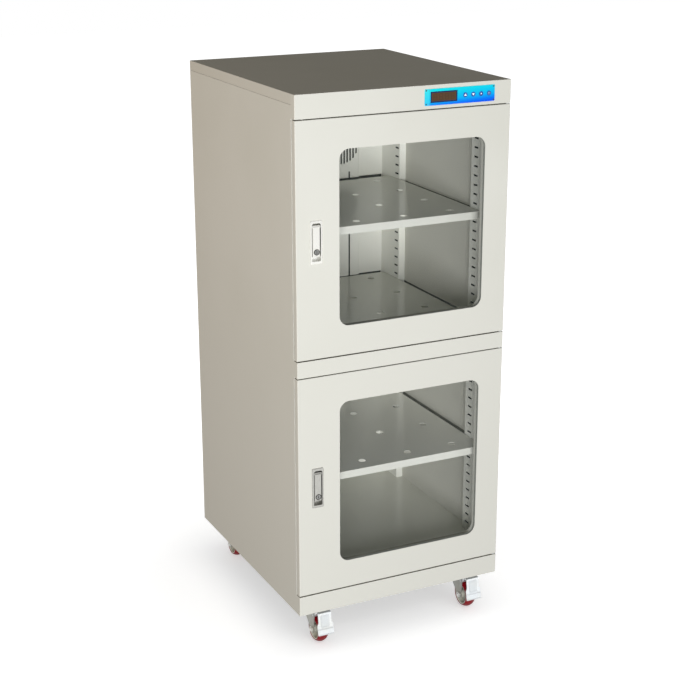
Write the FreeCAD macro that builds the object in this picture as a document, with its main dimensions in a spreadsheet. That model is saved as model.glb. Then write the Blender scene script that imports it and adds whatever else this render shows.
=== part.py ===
import FreeCAD, Part
import math
import os
import re
import Sketcher

# Two-door dry storage cabinet on casters, for filament spools and other goods that must stay dry.
# Millimetres. +X is right, +Y is back, +Z is up. The origin is on the floor under the middle.

doc = FreeCAD.newDocument("dry_cabinet")

# Driving dimensions, one cell each.
SIZES = {
    # carcass
    "cabinet_width": 600,
    "cabinet_depth": 700,
    "cabinet_height": 1372,
    "ride_height": 106,
    "sheet_thickness": 1.2,
    "frame_flange": 25,
    "rear_flange": 20,
    "skirt_height": 26,
    "skirt_gap": 0.6,
    "base_thickness": 2.5,
    "bend_radius": 2,
    "cut_margin": 2,
    # front bands
    "fascia_height": 59,
    "rail_height": 43,
    "plinth_height": 54,
    "door_gap": 2.6,
    "door_thickness": 17.5,
    "seal_thickness": 4,
    "seal_play": 0.3,
    # doors
    "window_left": 117.5,
    "window_right": 71,
    "window_margin": 77,
    "window_radius": 27,
    "liner_fit": 0.2,
    "glass_thickness": 4,
    "glass_lap": 9,
    "gasket_lip": 1.6,
    "gasket_wall": 3,
    "seal_inset": 9,
    "seal_width": 13,
    "hinge_inset": 6.5,
    "hinge_setback": 7,
    "pin_radius": 3,
    "pin_clearance": 0.1,
    "pin_collar": 5,
    "pin_play": 0.3,
    "pin_root": 8,
    "pin_reach": 9,
    # door lock
    "lock_inset": 54,
    "lock_width": 33,
    "lock_height": 110,
    "lock_radius": 3.5,
    "lock_flange": 2.5,
    "lock_lap": 2.5,
    "lock_depth": 13,
    "lock_fit": 0.3,
    "dish_width": 24,
    "dish_height": 96,
    "dish_radius": 6,
    "dish_foot_radius": 2,
    "dish_depth": 9,
    "lever_width": 22,
    "lever_thickness": 7,
    "lever_proud": 4.5,
    "lever_head": 5,
    "lever_rise": 39,
    "lever_length": 75,
    "lever_lip": 3,
    "lever_round": 6,
    "lever_pin": 2,
    "lever_pin_hold": 1.5,
    "lever_pin_depth": 3,
    "barrel_drop": 24,
    "barrel_radius": 6,
    "barrel_play": 2,
    "turn_clearance": 0.1,
    "plug_radius": 4,
    "keyway_width": 1.8,
    "keyway_height": 8,
    "keyway_depth": 3,
    "cam_clearance": 3,
    "cam_thickness": 3,
    "cam_width": 14,
    "cam_reach": 40,
    # control panel
    "panel_inset": 149,
    "panel_width": 200,
    "panel_height": 41,
    "panel_thickness": 2,
    "panel_radius": 3,
    "panel_lap": 4,
    "display_shift": 46,
    "display_width": 76,
    "display_height": 27,
    "display_fit": 0.3,
    "display_recess": 0.4,
    "key_first": 14.7,
    "key_pitch": 22.8,
    "key_radius": 6.2,
    "key_clearance": 0.3,
    "key_proud": 0.8,
    "key_flange": 7.5,
    "key_flange_thickness": 1,
    "key_stem_radius": 2,
    "key_stem": 2.5,
    "key_travel": 0.7,
    "switch_gap": 0.3,
    "switch_size": 6,
    "board_setback": 9,
    "board_thickness": 1.6,
    "board_margin": 6,
    "post_radius": 2.5,
    "post_inset": 8,
    # shelf posts, shelves and clips
    "post_depth": 20,
    "front_post_inset": 102.5,
    "front_post_width": 48,
    "rear_post_width": 110,
    "rear_slot_setback": 16,
    "slot_length": 20,
    "slot_height": 5,
    "slot_pitch": 25,
    "first_slot": 25,
    "top_shelf_slot": 36,
    "middle_shelf_slot": 24,
    "bottom_shelf_slot": 10,
    "shelf_clearance": 2.3,
    "shelf_depth": 592,
    "top_shelf_depth": 512,
    "shelf_inset": 50,
    "shelf_lip": 20,
    "shelf_radius": 14,
    "hole_radius": 10,
    "hole_column_pitch": 138,
    "hole_row_pitch": 165,
    "top_hole_row_pitch": 141,
    "clip_width": 16,
    "clip_reach": 10,
    "clip_drop": 8,
    "clip_thickness": 1.5,
    "clip_tongue": 3.5,
    "clip_hook": 2,
    # back of the chamber and the dryer
    "rear_space": 33.6,
    "duct_width": 396,
    "duct_depth": 10,
    "duct_base": 45,
    "duct_top_gap": 25,
    "duct_radius": 3,
    "vent_offset": 140,
    "vent_height": 1029,
    "vent_radius": 55,
    "vent_slot": 5,
    "vent_pitch": 9.6,
    "slit_offset": 166,
    "slit_width": 5,
    "slit_base": 70,
    "slit_top_gap": 24,
    "dryer_width": 320,
    "dryer_height": 170,
    "dryer_drop": 84,
    "dryer_wall": 2,
    "flap_length": 18,
    "flap_thickness": 1.2,
    "flap_pin": 1.5,
    "flap_clearance": 0.2,
    "flap_rise": 30,
    "flap_setback": 5,
    "flap_gap": 1,
    "flap_tilt": 45,
    "flap_hold": 1.5,
    "intake_width": 90,
    "intake_pitch": 102,
    "cartridge_width": 270,
    "cartridge_height": 110,
    "cartridge_depth": 24,
    "cartridge_rise": 48,
    "rib_width": 6,
    "rib_pitch": 15,
    "rib_depth": 3,
    "rib_inset": 12,
    "heater_width": 220,
    "heater_height": 6,
    "heater_depth": 18,
    "louvre_width": 130,
    "louvre_height": 4,
    "louvre_pitch": 11,
    "louvre_count": 9,
    "louvre_offset": 85,
    "louvre_base": 1030,
    "sensor_width": 44,
    "sensor_depth": 28,
    "sensor_height": 15,
    "sensor_setback": 520,
    "sensor_radius": 5,
    "sensor_slot": 2,
    "sensor_slot_pitch": 6,
    # power inlet
    "inlet_inset": 85,
    "inlet_height": 110,
    "inlet_flange_width": 50,
    "inlet_flange_height": 30,
    "inlet_radius": 4,
    "rear_reach": 2,
    "inlet_width": 28,
    "inlet_tall": 21,
    "inlet_depth": 22,
    "inlet_fit": 0.2,
    "inlet_wall": 2,
    "inlet_socket": 16,
    "blade_width": 2,
    "blade_height": 4,
    "blade_length": 10,
    "blade_pitch": 7,
    "blade_shift": 3,
    # casters
    "caster_inset": 72,
    "caster_setback": 71,
    "caster_trail": 30,
    "plate_width": 67,
    "plate_length": 95,
    "plate_thickness": 3,
    "plate_radius": 8,
    "bolt_radius": 4.25,
    "bolt_across": 45,
    "bolt_along": 73,
    "race_radius": 24,
    "race_depth": 4,
    "swivel_gap": 0.4,
    "kingpin_radius": 7,
    "kingpin_head": 11,
    "kingpin_head_depth": 3,
    "crown_depth": 6,
    "fork_thickness": 2.6,
    "fork_gap": 1,
    "fork_front": 30,
    "fork_back": 24,
    "fork_brow": 7,
    "fork_nose": 44,
    "fork_heel": 15,
    "eye_radius": 11,
    "rear_fork_half": 30,
    "axle_radius": 4,
    "axle_head": 6.5,
    "axle_head_depth": 4,
    "wheel_radius": 37.5,
    "wheel_width": 30,
    "tyre_depth": 8,
    "tyre_side": 1.5,
    "hub_overhang": 1.5,
    "hub_radius": 11,
    "web_half": 4,
    "rim_inset": 1,
    "rim_depth": 3,
    # brake pedals
    "pedal_width": 46,
    "pedal_neck": 38,
    "pedal_flare": 32,
    "pedal_flare_drop": 12,
    "pedal_arm_width": 32,
    "pedal_thickness": 2.6,
    "pedal_fold": 5.2,
    "pedal_root": 3.9,
    "pedal_reach": 11,
    "pedal_tip_drop": 66,
    "pedal_crease": 50,
    "pedal_crease_depth": 5,
    "pedal_dish_width": 24,
    "pedal_dish_depth": 0.8,
    "pedal_dish_top": 14,
    "pedal_dish_base": 45,
    "pedal_top_drop": 6,
    "pedal_brow": 60,
    "pedal_bend": 9,
    "pedal_pivot": 37,
    "pedal_pivot_drop": 25,
    "pedal_eye": 4.5,
    "pedal_pin": 2.5,
}

# Places that follow from the sizes.
PLACES = {
    "half_width": "cabinet_width / 2",
    "wall_inside": "half_width - sheet_thickness",
    "front_plane": "(pedal_reach - rear_reach - cabinet_depth) / 2",
    "nose_depth": "door_thickness + seal_thickness",
    "body_front": "front_plane + nose_depth",
    "back_plane": "front_plane + cabinet_depth",
    "roof": "ride_height + cabinet_height",
    "fascia_base": "roof - fascia_height",
    "side_height": "cabinet_height - skirt_height - skirt_gap",
    "frame_half": "half_width - frame_flange",
    "door_height": "(cabinet_height - fascia_height - plinth_height - rail_height) / 2 - 2 * door_gap",
    "door_pitch": "door_height + 2 * door_gap + rail_height",
    "lower_door_base": "ride_height + plinth_height + door_gap",
    "upper_door_base": "lower_door_base + door_pitch",
    "rail_base": "lower_door_base + door_height + door_gap",
    "floor_top": "ride_height + plinth_height + frame_flange",
    "chamber_height": "fascia_base - floor_top",
    "liner_back": "back_plane - sheet_thickness - rear_space",
    "liner_front": "liner_back - sheet_thickness",
    "hinge_x": "half_width - hinge_inset",
    "hinge_y": "front_plane + hinge_setback",
    "lock_x": "lock_inset - half_width",
    "lock_z": "upper_door_base + door_height / 2",
    "lever_y": "front_plane + lever_pin_depth",
    "panel_x": "half_width - panel_inset",
    "panel_z": "fascia_base + (fascia_height - sheet_thickness) / 2",
    "post_face": "wall_inside - post_depth",
    "front_post_y": "front_plane + front_post_inset",
    "rear_post_y": "liner_front - rear_post_width",
    "front_slot_y": "front_post_y + front_post_width / 2",
    "rear_slot_y": "rear_post_y + rear_slot_setback",
    "slot_base": "floor_top + first_slot",
    "shelf_half": "post_face - shelf_clearance",
    "shelf_middle": "front_plane + shelf_inset + shelf_depth / 2",
    "inlet_x": "half_width - inlet_inset",
    "vent_z": "floor_top + vent_height",
    "dryer_base": "vent_z - dryer_drop",
    "flap_half": "dryer_width / 2 - dryer_wall - flap_gap",
    "caster_x": "half_width - caster_inset",
    "kingpin_y": "front_plane + caster_setback",
    "front_axle_y": "kingpin_y - caster_trail",
    "rear_axle_y": "back_plane - caster_setback",
    "axle_drop": "ride_height - wheel_radius",
    "fork_inside": "wheel_width / 2 + hub_overhang + fork_gap",
    "fork_outside": "fork_inside + fork_thickness",
    "race_base": "plate_thickness + race_depth",
    "crown_top": "race_base + swivel_gap",
    "crown_base": "crown_top + crown_depth",
    "crown_under": "crown_base + fork_thickness",
    "rim_radius": "wheel_radius - tyre_depth",
    "apron_y": "-pedal_brow - pedal_bend",
    "apron_drop": "pedal_top_drop + pedal_thickness / 2",
    "crease_y": "pedal_crease_depth - caster_setback - pedal_reach",
    "apron_lean": "(crease_y - (apron_y)) / (pedal_crease - (apron_drop))",
}

sheet = doc.addObject("Spreadsheet::Sheet", "Sizes")
for row, (alias, value) in enumerate(SIZES.items(), start=1):
    sheet.set("A%d" % row, alias)
    sheet.set("B%d" % row, str(value))
    sheet.setAlias("B%d" % row, alias)
doc.recompute()

nodes = []


def spell(formula):
    # Writes a formula of size and place names as an expression on the sheet's cells.
    def word(match):
        name = match.group(0)
        if name in PLACES:
            return "(" + spell(PLACES[name]) + ")"
        if name in SIZES:
            return "Sizes." + name
        return name
    return re.sub(r"[A-Za-z_]\w*", word, str(formula))


def number(formula):
    return float(sheet.evalExpression(spell(formula)))


def bind(thing, field, formula):
    thing.setExpression(field, spell(formula))


def place(thing, x, y, z):
    for axis, formula in (("x", x), ("y", y), ("z", z)):
        bind(thing, "Placement.Base." + axis, formula)


def keep(thing, label):
    # A kept sub-part: its label names its node.
    thing.Label = label
    nodes.append(thing)
    return thing


def new_body(label, x="0", y="0", z="0", tilt=0, kept=True):
    body = doc.addObject("PartDesign::Body", label)
    body.Label = label
    if tilt:
        body.Placement = FreeCAD.Placement(FreeCAD.Vector(), FreeCAD.Rotation(FreeCAD.Vector(1, 0, 0), tilt))
    place(body, x, y, z)
    return keep(body, label) if kept else body


def origin_part(body, role):
    return [part for part in body.Origin.OriginFeatures if part.Role == role][0]


def new_sketch(body, plane, lift="0"):
    # plane is XY, XZ or YZ; lift is the sketch's place along the plane's own +axis.
    sketch = body.newObject("Sketcher::SketchObject", body.Name + "_sketch")
    sketch.AttachmentSupport = [(origin_part(body, plane + "_Plane"), "")]
    sketch.MapMode = "FlatFace"
    bind(sketch, "AttachmentOffset.Base.z", "-(%s)" % lift if plane == "XZ" else lift)
    return sketch


def dimension(sketch, line, end, x, y):
    # Sets one end of a line by its distances from the sketch's origin.
    for kind, formula, axis in (("DistanceX", x, -2), ("DistanceY", y, -1)):
        value = number(formula)
        if abs(value) < 1e-9:
            sketch.addConstraint(Sketcher.Constraint("PointOnObject", line, end, axis))
        else:
            index = sketch.addConstraint(Sketcher.Constraint(kind, -1, 1, line, end, value))
            bind(sketch, "Constraints[%d]" % index, formula)


def point(x, y):
    return FreeCAD.Vector(number(x), number(y), 0)


def outline(sketch, corners):
    # A closed outline of straight sides.
    first = sketch.GeometryCount
    count = len(corners)
    for i in range(count):
        sketch.addGeometry(Part.LineSegment(point(*corners[i]), point(*corners[(i + 1) % count])))
    for i in range(count):
        sketch.addConstraint(Sketcher.Constraint("Coincident", first + i, 2, first + (i + 1) % count, 1))
    for i, (x, y) in enumerate(corners):
        dimension(sketch, first + i, 1, x, y)
    return sketch


def rectangle(sketch, left, right, low, high):
    return outline(sketch, [(left, low), (right, low), (right, high), (left, high)])


def rounded(sketch, left, right, low, high, radius):
    # A rectangle with round corners: four sides, then an arc from each side's end to the next side.
    inner_left, inner_right = "%s + (%s)" % (left, radius), "%s - (%s)" % (right, radius)
    inner_low, inner_high = "%s + (%s)" % (low, radius), "%s - (%s)" % (high, radius)
    sides = [
        ((inner_left, low), (inner_right, low)),
        ((right, inner_low), (right, inner_high)),
        ((inner_right, high), (inner_left, high)),
        ((left, inner_high), (left, inner_low)),
    ]
    centres = [
        (inner_right, inner_low), (inner_right, inner_high),
        (inner_left, inner_high), (inner_left, inner_low),
    ]
    first = sketch.GeometryCount
    for start, end in sides:
        sketch.addGeometry(Part.LineSegment(point(*start), point(*end)))
    size = number(radius)
    for i, centre in enumerate(centres):
        circle = Part.Circle(point(*centre), FreeCAD.Vector(0, 0, 1), size)
        sketch.addGeometry(Part.ArcOfCircle(circle, (i - 1) * math.pi / 2, i * math.pi / 2))
    for i, (start, end) in enumerate(sides):
        dimension(sketch, first + i, 1, *start)
        dimension(sketch, first + i, 2, *end)
        sketch.addConstraint(Sketcher.Constraint("Coincident", first + 4 + i, 1, first + i, 2))
        sketch.addConstraint(Sketcher.Constraint("Coincident", first + 4 + i, 2, first + (i + 1) % 4, 1))
        index = sketch.addConstraint(Sketcher.Constraint("Radius", first + 4 + i, size))
        bind(sketch, "Constraints[%d]" % index, radius)
    return sketch


def crowned(sketch, half, low, side, crown):
    # A band across the middle with a flat foot and upright sides, and an arc over its top.
    left = "-(%s)" % half
    corners = [(left, side), (left, low), (half, low), (half, side)]
    rise = "(%s - (%s))" % (crown, side)
    radius = "((%s) ^ 2 + %s ^ 2) / (2 * %s)" % (half, rise, rise)
    first = sketch.GeometryCount
    for start, end in zip(corners, corners[1:]):
        sketch.addGeometry(Part.LineSegment(point(*start), point(*end)))
    sketch.addGeometry(Part.Arc(point(half, side), point("0", crown), point(left, side)))
    for i in range(4):
        sketch.addConstraint(Sketcher.Constraint("Coincident", first + i, 2, first + (i + 1) % 4, 1))
    for i, (x, y) in enumerate(corners[:-1]):
        dimension(sketch, first + i, 1, x, y)
    dimension(sketch, first + 2, 2, *corners[-1])
    index = sketch.addConstraint(Sketcher.Constraint("Radius", first + 3, number(radius)))
    bind(sketch, "Constraints[%d]" % index, radius)
    return sketch


def ring(sketch, x, y, radius):
    # A circle.
    line = sketch.addGeometry(Part.Circle(point(x, y), FreeCAD.Vector(0, 0, 1), number(radius)))
    dimension(sketch, line, 3, x, y)
    index = sketch.addConstraint(Sketcher.Constraint("Radius", line, number(radius)))
    bind(sketch, "Constraints[%d]" % index, radius)
    return sketch


def sweep_up(body, sketch, length, kind):
    # Pads and cuts always run from the sketch towards the plane's own +axis.
    feature = body.newObject("PartDesign::" + kind, body.Name + "_" + kind.lower())
    feature.Profile = sketch
    bind(feature, "Length", length)
    flat_plane = sketch.AttachmentSupport[0][0].Role
    feature.Reversed = (flat_plane == "XZ_Plane") == (kind == "Pad")
    return feature


def pad(body, sketch, length):
    return sweep_up(body, sketch, length, "Pad")


def cut(body, sketch, length):
    return sweep_up(body, sketch, length, "Pocket")


def revolve(body, sketch, axis):
    feature = body.newObject("PartDesign::Revolution", body.Name + "_turned")
    feature.Profile = sketch
    feature.ReferenceAxis = (origin_part(body, axis + "_Axis"), [""])
    feature.Angle = 360
    return feature


def repeat(body, feature, axis, spacing, count):
    pattern = body.newObject("PartDesign::LinearPattern", body.Name + "_row")
    pattern.Originals = [feature]
    pattern.Direction = (origin_part(body, axis + "_Axis"), [""])
    bind(pattern, "Length", "(%s) * ((%s) - 1)" % (spacing, count))
    bind(pattern, "Occurrences", count)
    body.Tip = pattern
    return pattern


def mirror_feature(body, features, plane):
    mirrored = body.newObject("PartDesign::Mirrored", body.Name + "_mirrored")
    mirrored.Originals = features
    mirrored.MirrorPlane = (origin_part(body, plane + "_Plane"), [""])
    body.Tip = mirrored
    return mirrored


def soften(body, radius, wanted):
    # Rounds the edges of the body's last feature that the test picks.
    doc.recompute()
    base = body.Tip
    names = ["Edge%d" % (i + 1) for i, edge in enumerate(base.Shape.Edges) if wanted(edge)]
    feature = body.newObject("PartDesign::Fillet", body.Name + "_round")
    feature.Base = (base, names)
    bind(feature, "Radius", radius)
    return feature


def runs_along(edge, axis):
    if edge.Curve.TypeId != "Part::GeomLine":
        return False
    return abs(getattr(edge.Curve.Direction, axis)) > 0.999


def lies_at(edge, axis, formula):
    # The edge lies flat at this place, in its body's own frame.
    place_wanted = number(formula)
    box = edge.BoundBox
    low, high = getattr(box, axis.upper() + "Min"), getattr(box, axis.upper() + "Max")
    return abs(low - place_wanted) < 1e-4 and abs(high - place_wanted) < 1e-4


def group(label, parts, kept=True):
    compound = doc.addObject("Part::Compound", label)
    compound.Links = parts
    compound.Label = label
    return keep(compound, label) if kept else compound


def moved(label, source, x="0", y="0", z="0", kept=True):
    # The same piece again, somewhere else.
    copy = group(label, [source], kept)
    place(copy, x, y, z)
    return copy


def mirrored_part(label, source, kept=True):
    # The same piece on the other side of the middle plane.
    copy = doc.addObject("Part::Mirroring", label)
    copy.Source = source
    copy.Normal = FreeCAD.Vector(1, 0, 0)
    copy.Label = label
    return keep(copy, label) if kept else copy


def side_panels():
    right = new_body("right_side_panel", "half_width", "body_front", "ride_height")
    depth = "cabinet_depth - nose_depth - sheet_thickness"
    inner = "%s - sheet_thickness" % depth
    section = outline(new_sketch(right, "XY"), [
        ("-frame_flange", "0"), ("0", "0"), ("0", depth), ("-rear_flange", depth),
        ("-rear_flange", inner), ("-sheet_thickness", inner),
        ("-sheet_thickness", "sheet_thickness"), ("-frame_flange", "sheet_thickness"),
    ])
    pad(right, section, "side_height")
    mirrored_part("left_side_panel", right)


def back_panel():
    panel = new_body("back_panel", "0", "back_plane - sheet_thickness", "ride_height")
    face = rectangle(new_sketch(panel, "XZ"), "-half_width", "half_width", "0", "side_height")
    pad(panel, face, "sheet_thickness")
    depth = "sheet_thickness + 2 * cut_margin"
    hole = new_sketch(panel, "XZ", "-cut_margin")
    rectangle(hole, "inlet_x - inlet_width / 2 - inlet_fit", "inlet_x + inlet_width / 2 + inlet_fit",
              "inlet_height - inlet_tall / 2 - inlet_fit", "inlet_height + inlet_tall / 2 + inlet_fit")
    cut(panel, hole, depth)
    slots = new_sketch(panel, "XZ", "-cut_margin")
    for side in ("-louvre_offset", "louvre_offset"):
        rectangle(slots, side + " - louvre_width / 2", side + " + louvre_width / 2",
                  "louvre_base", "louvre_base + louvre_height")
    repeat(panel, cut(panel, slots, depth), "Z", "louvre_pitch", "louvre_count")


def inner_back_panel():
    panel = new_body("inner_back_panel", "0", "liner_front", "floor_top")
    pad(panel, rectangle(new_sketch(panel, "XZ"), "-wall_inside", "wall_inside", "0", "chamber_height"),
        "sheet_thickness")
    # A row of intake slots, which the inner shutter closes.
    slots = new_sketch(panel, "XZ", "-cut_margin")
    pivot = "vent_height - dryer_drop + flap_rise"
    for i in (-1, 0, 1):
        x = "%d * intake_pitch" % i
        rectangle(slots, x + " - intake_width / 2", x + " + intake_width / 2",
                  pivot + " - flap_length + flap_gap", pivot + " - flap_pin - flap_gap")
    cut(panel, slots, "sheet_thickness + 2 * cut_margin")


def top_cover():
    cover = new_body("top_cover", "0", "front_plane", "roof - sheet_thickness")
    pad(cover, rectangle(new_sketch(cover, "XY"), "-half_width", "half_width", "0", "cabinet_depth"),
        "sheet_thickness")
    inner = "cabinet_depth - sheet_thickness"
    skirt = outline(new_sketch(cover, "XY", "sheet_thickness - skirt_height"), [
        ("-half_width", "nose_depth"), ("-wall_inside", "nose_depth"), ("-wall_inside", inner),
        ("wall_inside", inner), ("wall_inside", "nose_depth"), ("half_width", "nose_depth"),
        ("half_width", "cabinet_depth"), ("-half_width", "cabinet_depth"),
    ])
    pad(cover, skirt, "skirt_height - sheet_thickness")


def flat_panels():
    depth = "liner_back - body_front - sheet_thickness"
    for label, height in (("floor_panel", "floor_top - sheet_thickness"), ("ceiling_panel", "fascia_base")):
        panel = new_body(label, "0", "body_front + sheet_thickness", height)
        face = rectangle(new_sketch(panel, "XY"), "-wall_inside", "wall_inside", "0", depth)
        pad(panel, face, "sheet_thickness")


def nose(label, base, height):
    # A folded pan as deep as the doors, open at its back, with round front edges.
    body = new_body(label, "0", "front_plane", base)
    pad(body, rectangle(new_sketch(body, "XZ"), "-half_width", "half_width", "0", height), "nose_depth")
    soften(body, "bend_radius", lambda edge: runs_along(edge, "z") and lies_at(edge, "y", "0"))
    inside = rectangle(new_sketch(body, "XZ", "sheet_thickness"), "-wall_inside", "wall_inside",
                       "sheet_thickness", "%s - sheet_thickness" % height)
    cut(body, inside, "nose_depth")
    return body


def frame_plate(body, low, high):
    # The flange behind a door's edge, which the door's seal meets.
    pad(body, rectangle(new_sketch(body, "XZ", "nose_depth"), "-frame_half", "frame_half", low, high),
        "sheet_thickness")


def pin_hole(body, low, length, radius):
    hole = ring(new_sketch(body, "XY", low), "hinge_x", "hinge_setback", radius)
    cut(body, hole, length)


def front_bands():
    fascia = nose("front_fascia", "fascia_base", "fascia_height - sheet_thickness")
    frame_plate(fascia, "-frame_flange", "sheet_thickness")
    pin_hole(fascia, "-cut_margin", "sheet_thickness + 2 * cut_margin", "pin_radius")
    middle = "(fascia_height - sheet_thickness) / 2"
    opening = new_sketch(fascia, "XZ", "-cut_margin")
    rectangle(opening, "panel_x - panel_width / 2 + panel_lap", "panel_x + panel_width / 2 - panel_lap",
              middle + " - panel_height / 2 + panel_lap", middle + " + panel_height / 2 - panel_lap")
    cut(fascia, opening, "sheet_thickness + 2 * cut_margin")

    rail = nose("middle_rail", "rail_base", "rail_height")
    frame_plate(rail, "-frame_flange", "sheet_thickness")
    frame_plate(rail, "rail_height - sheet_thickness", "rail_height + frame_flange")
    pin_hole(rail, "-cut_margin", "rail_height + 2 * cut_margin", "pin_radius")

    plinth = nose("base_plinth", "ride_height", "plinth_height")
    frame_plate(plinth, "plinth_height - sheet_thickness", "plinth_height + frame_flange")
    pin_hole(plinth, "plinth_height - sheet_thickness - cut_margin", "sheet_thickness + 2 * cut_margin",
             "pin_radius")
    step = "nose_depth + sheet_thickness"
    rear = "cabinet_depth - 2 * sheet_thickness"
    pan = outline(new_sketch(plinth, "XY"), [
        ("-frame_half", "nose_depth"), ("frame_half", "nose_depth"),
        ("frame_half", step), ("wall_inside", step),
        ("wall_inside", rear), ("-wall_inside", rear),
        ("-wall_inside", step), ("-frame_half", step),
    ])
    pad(plinth, pan, "base_thickness")


def hinge_pins():
    # A pin with a collar that fills the door gap; two point up and two point down.
    pins = []
    for name, height, tilt in (
        ("fascia_pin", "fascia_base", 180),
        ("rail_top_pin", "rail_base + rail_height", 0),
        ("rail_base_pin", "rail_base", 180),
        ("plinth_pin", "ride_height + plinth_height", 0),
    ):
        pin = new_body(name, "hinge_x", "hinge_y", height, tilt, kept=False)
        collar = "door_gap - pin_play"
        tip = "door_gap + pin_reach"
        profile = outline(new_sketch(pin, "XZ"), [
            ("0", "-pin_root"), ("pin_radius", "-pin_root"), ("pin_radius", "0"), ("pin_collar", "0"),
            ("pin_collar", collar), ("pin_radius", collar), ("pin_radius", tip), ("0", tip),
        ])
        revolve(pin, profile, "Z")
        pins.append(pin)
    group("hinge_pins", pins)


def window(sketch, grow, radius):
    # The door's window opening, grown by a margin all round.
    left, right = "window_left - half_width - (%s)" % grow, "half_width - window_right + (%s)" % grow
    low, high = "window_margin - (%s)" % grow, "door_height - window_margin + (%s)" % grow
    return rounded(sketch, left, right, low, high, radius)


def door_skin():
    skin = new_body("upper_door_skin", "0", "front_plane", "upper_door_base")
    face = rectangle(new_sketch(skin, "XZ"), "-half_width", "half_width", "0", "door_height")
    pad(skin, face, "door_thickness")
    soften(skin, "bend_radius", lambda edge: lies_at(edge, "y", "0"))
    inside = rectangle(new_sketch(skin, "XZ", "sheet_thickness"), "-wall_inside", "wall_inside",
                       "sheet_thickness", "door_height - sheet_thickness")
    cut(skin, inside, "door_thickness")
    depth = "sheet_thickness + 2 * cut_margin"
    cut(skin, window(new_sketch(skin, "XZ", "-cut_margin"), "0", "window_radius"), depth)
    half_wide = "(lock_width / 2 - lock_lap + lock_fit)"
    half_tall = "(lock_height / 2 - lock_lap + lock_fit)"
    seat = rectangle(new_sketch(skin, "XZ", "-cut_margin"), "lock_x - " + half_wide, "lock_x + " + half_wide,
                     "door_height / 2 - " + half_tall, "door_height / 2 + " + half_tall)
    cut(skin, seat, depth)
    pin_hole(skin, "-cut_margin", "door_height + 2 * cut_margin", "pin_radius + pin_clearance")
    return skin


def door_liner():
    # The inner sheet: a collar round the window presses the glass gasket against the skin.
    back = "front_plane + door_thickness - sheet_thickness"
    liner = new_body("upper_door_liner", "0", back, "upper_door_base")
    edge = "sheet_thickness + liner_fit"
    pad(liner, rectangle(new_sketch(liner, "XZ"), "%s - half_width" % edge, "half_width - (%s)" % edge,
                         edge, "door_height - (%s)" % edge), "sheet_thickness")
    collar = "door_thickness - 2 * sheet_thickness - glass_thickness - 2 * gasket_lip"
    rim = new_sketch(liner, "XZ", "-(%s)" % collar)
    pad(liner, window(rim, "sheet_thickness", "window_radius + sheet_thickness"), collar)
    through = "(%s) + sheet_thickness + 2 * cut_margin" % collar
    cut(liner, window(new_sketch(liner, "XZ", "-(%s) - cut_margin" % collar), "0", "window_radius"), through)
    hole = ring(new_sketch(liner, "XZ", "-cut_margin"), "lock_x", "door_height / 2 - barrel_drop",
                "plug_radius + turn_clearance")
    cut(liner, hole, "sheet_thickness + 2 * cut_margin")
    return liner


def door_glass():
    glass = new_body("upper_door_glass", "0", "front_plane + sheet_thickness + gasket_lip", "upper_door_base")
    pad(glass, window(new_sketch(glass, "XZ"), "glass_lap", "window_radius + glass_lap"), "glass_thickness")
    return glass


def glass_gasket(glass):
    # A channel of rubber round the glass: a ring with the pane's edge taken out of it.
    band = new_body("upper_gasket_band", "0", "front_plane + sheet_thickness", "upper_door_base", kept=False)
    depth = "glass_thickness + 2 * gasket_lip"
    outer = "glass_lap + gasket_wall"
    pad(band, window(new_sketch(band, "XZ"), outer, "window_radius + " + outer), depth)
    middle = window(new_sketch(band, "XZ", "-cut_margin"), "0", "window_radius")
    cut(band, middle, "%s + 2 * cut_margin" % depth)
    gasket = doc.addObject("Part::Cut", "upper_glass_gasket")
    gasket.Base = band
    gasket.Tool = glass
    return keep(gasket, "upper_glass_gasket")


def door_seal():
    seal = new_body("upper_door_seal", "0", "front_plane + door_thickness", "upper_door_base")
    face = new_sketch(seal, "XZ")
    for inset in ("seal_inset", "seal_inset + seal_width"):
        rectangle(face, "%s - half_width" % inset, "half_width - (%s)" % inset,
                  inset, "door_height - (%s)" % inset)
    pad(seal, face, "seal_thickness - seal_play")
    return seal


def lock_case():
    # A flanged case with a dish that the lever folds into, round at its head and square at its foot.
    case = new_body("upper_lock_case", "lock_x", "front_plane", "lock_z")
    flange = rounded(new_sketch(case, "XZ", "-lock_flange"), "-lock_width / 2", "lock_width / 2",
                     "-lock_height / 2", "lock_height / 2", "lock_radius")
    pad(case, flange, "lock_flange")
    soften(case, "bend_radius", lambda edge: lies_at(edge, "y", "-lock_flange"))
    shell = rectangle(new_sketch(case, "XZ"), "lock_lap - lock_width / 2", "lock_width / 2 - lock_lap",
                      "lock_lap - lock_height / 2", "lock_height / 2 - lock_lap")
    pad(case, shell, "lock_depth")
    dish = rounded(new_sketch(case, "XZ", "-lock_flange - cut_margin"), "-dish_width / 2", "dish_width / 2",
                   "-dish_height / 2", "dish_height / 2", "dish_radius")
    cut(case, dish, "lock_flange + cut_margin + dish_depth")
    foot = rounded(new_sketch(case, "XZ", "-lock_flange - cut_margin"), "-dish_width / 2", "dish_width / 2",
                   "-dish_height / 2", "-barrel_drop", "dish_foot_radius")
    cut(case, foot, "lock_flange + cut_margin + dish_depth")
    bore = ring(new_sketch(case, "XZ"), "0", "-barrel_drop", "barrel_radius + turn_clearance")
    cut(case, bore, "lock_depth + cut_margin")
    stub = "dish_width / 2 + lever_pin_hold"
    pivot = ring(new_sketch(case, "YZ", "-(%s)" % stub), "lever_pin_depth", "lever_rise",
                 "lever_pin + turn_clearance")
    cut(case, pivot, "2 * (%s)" % stub)
    return case


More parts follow.
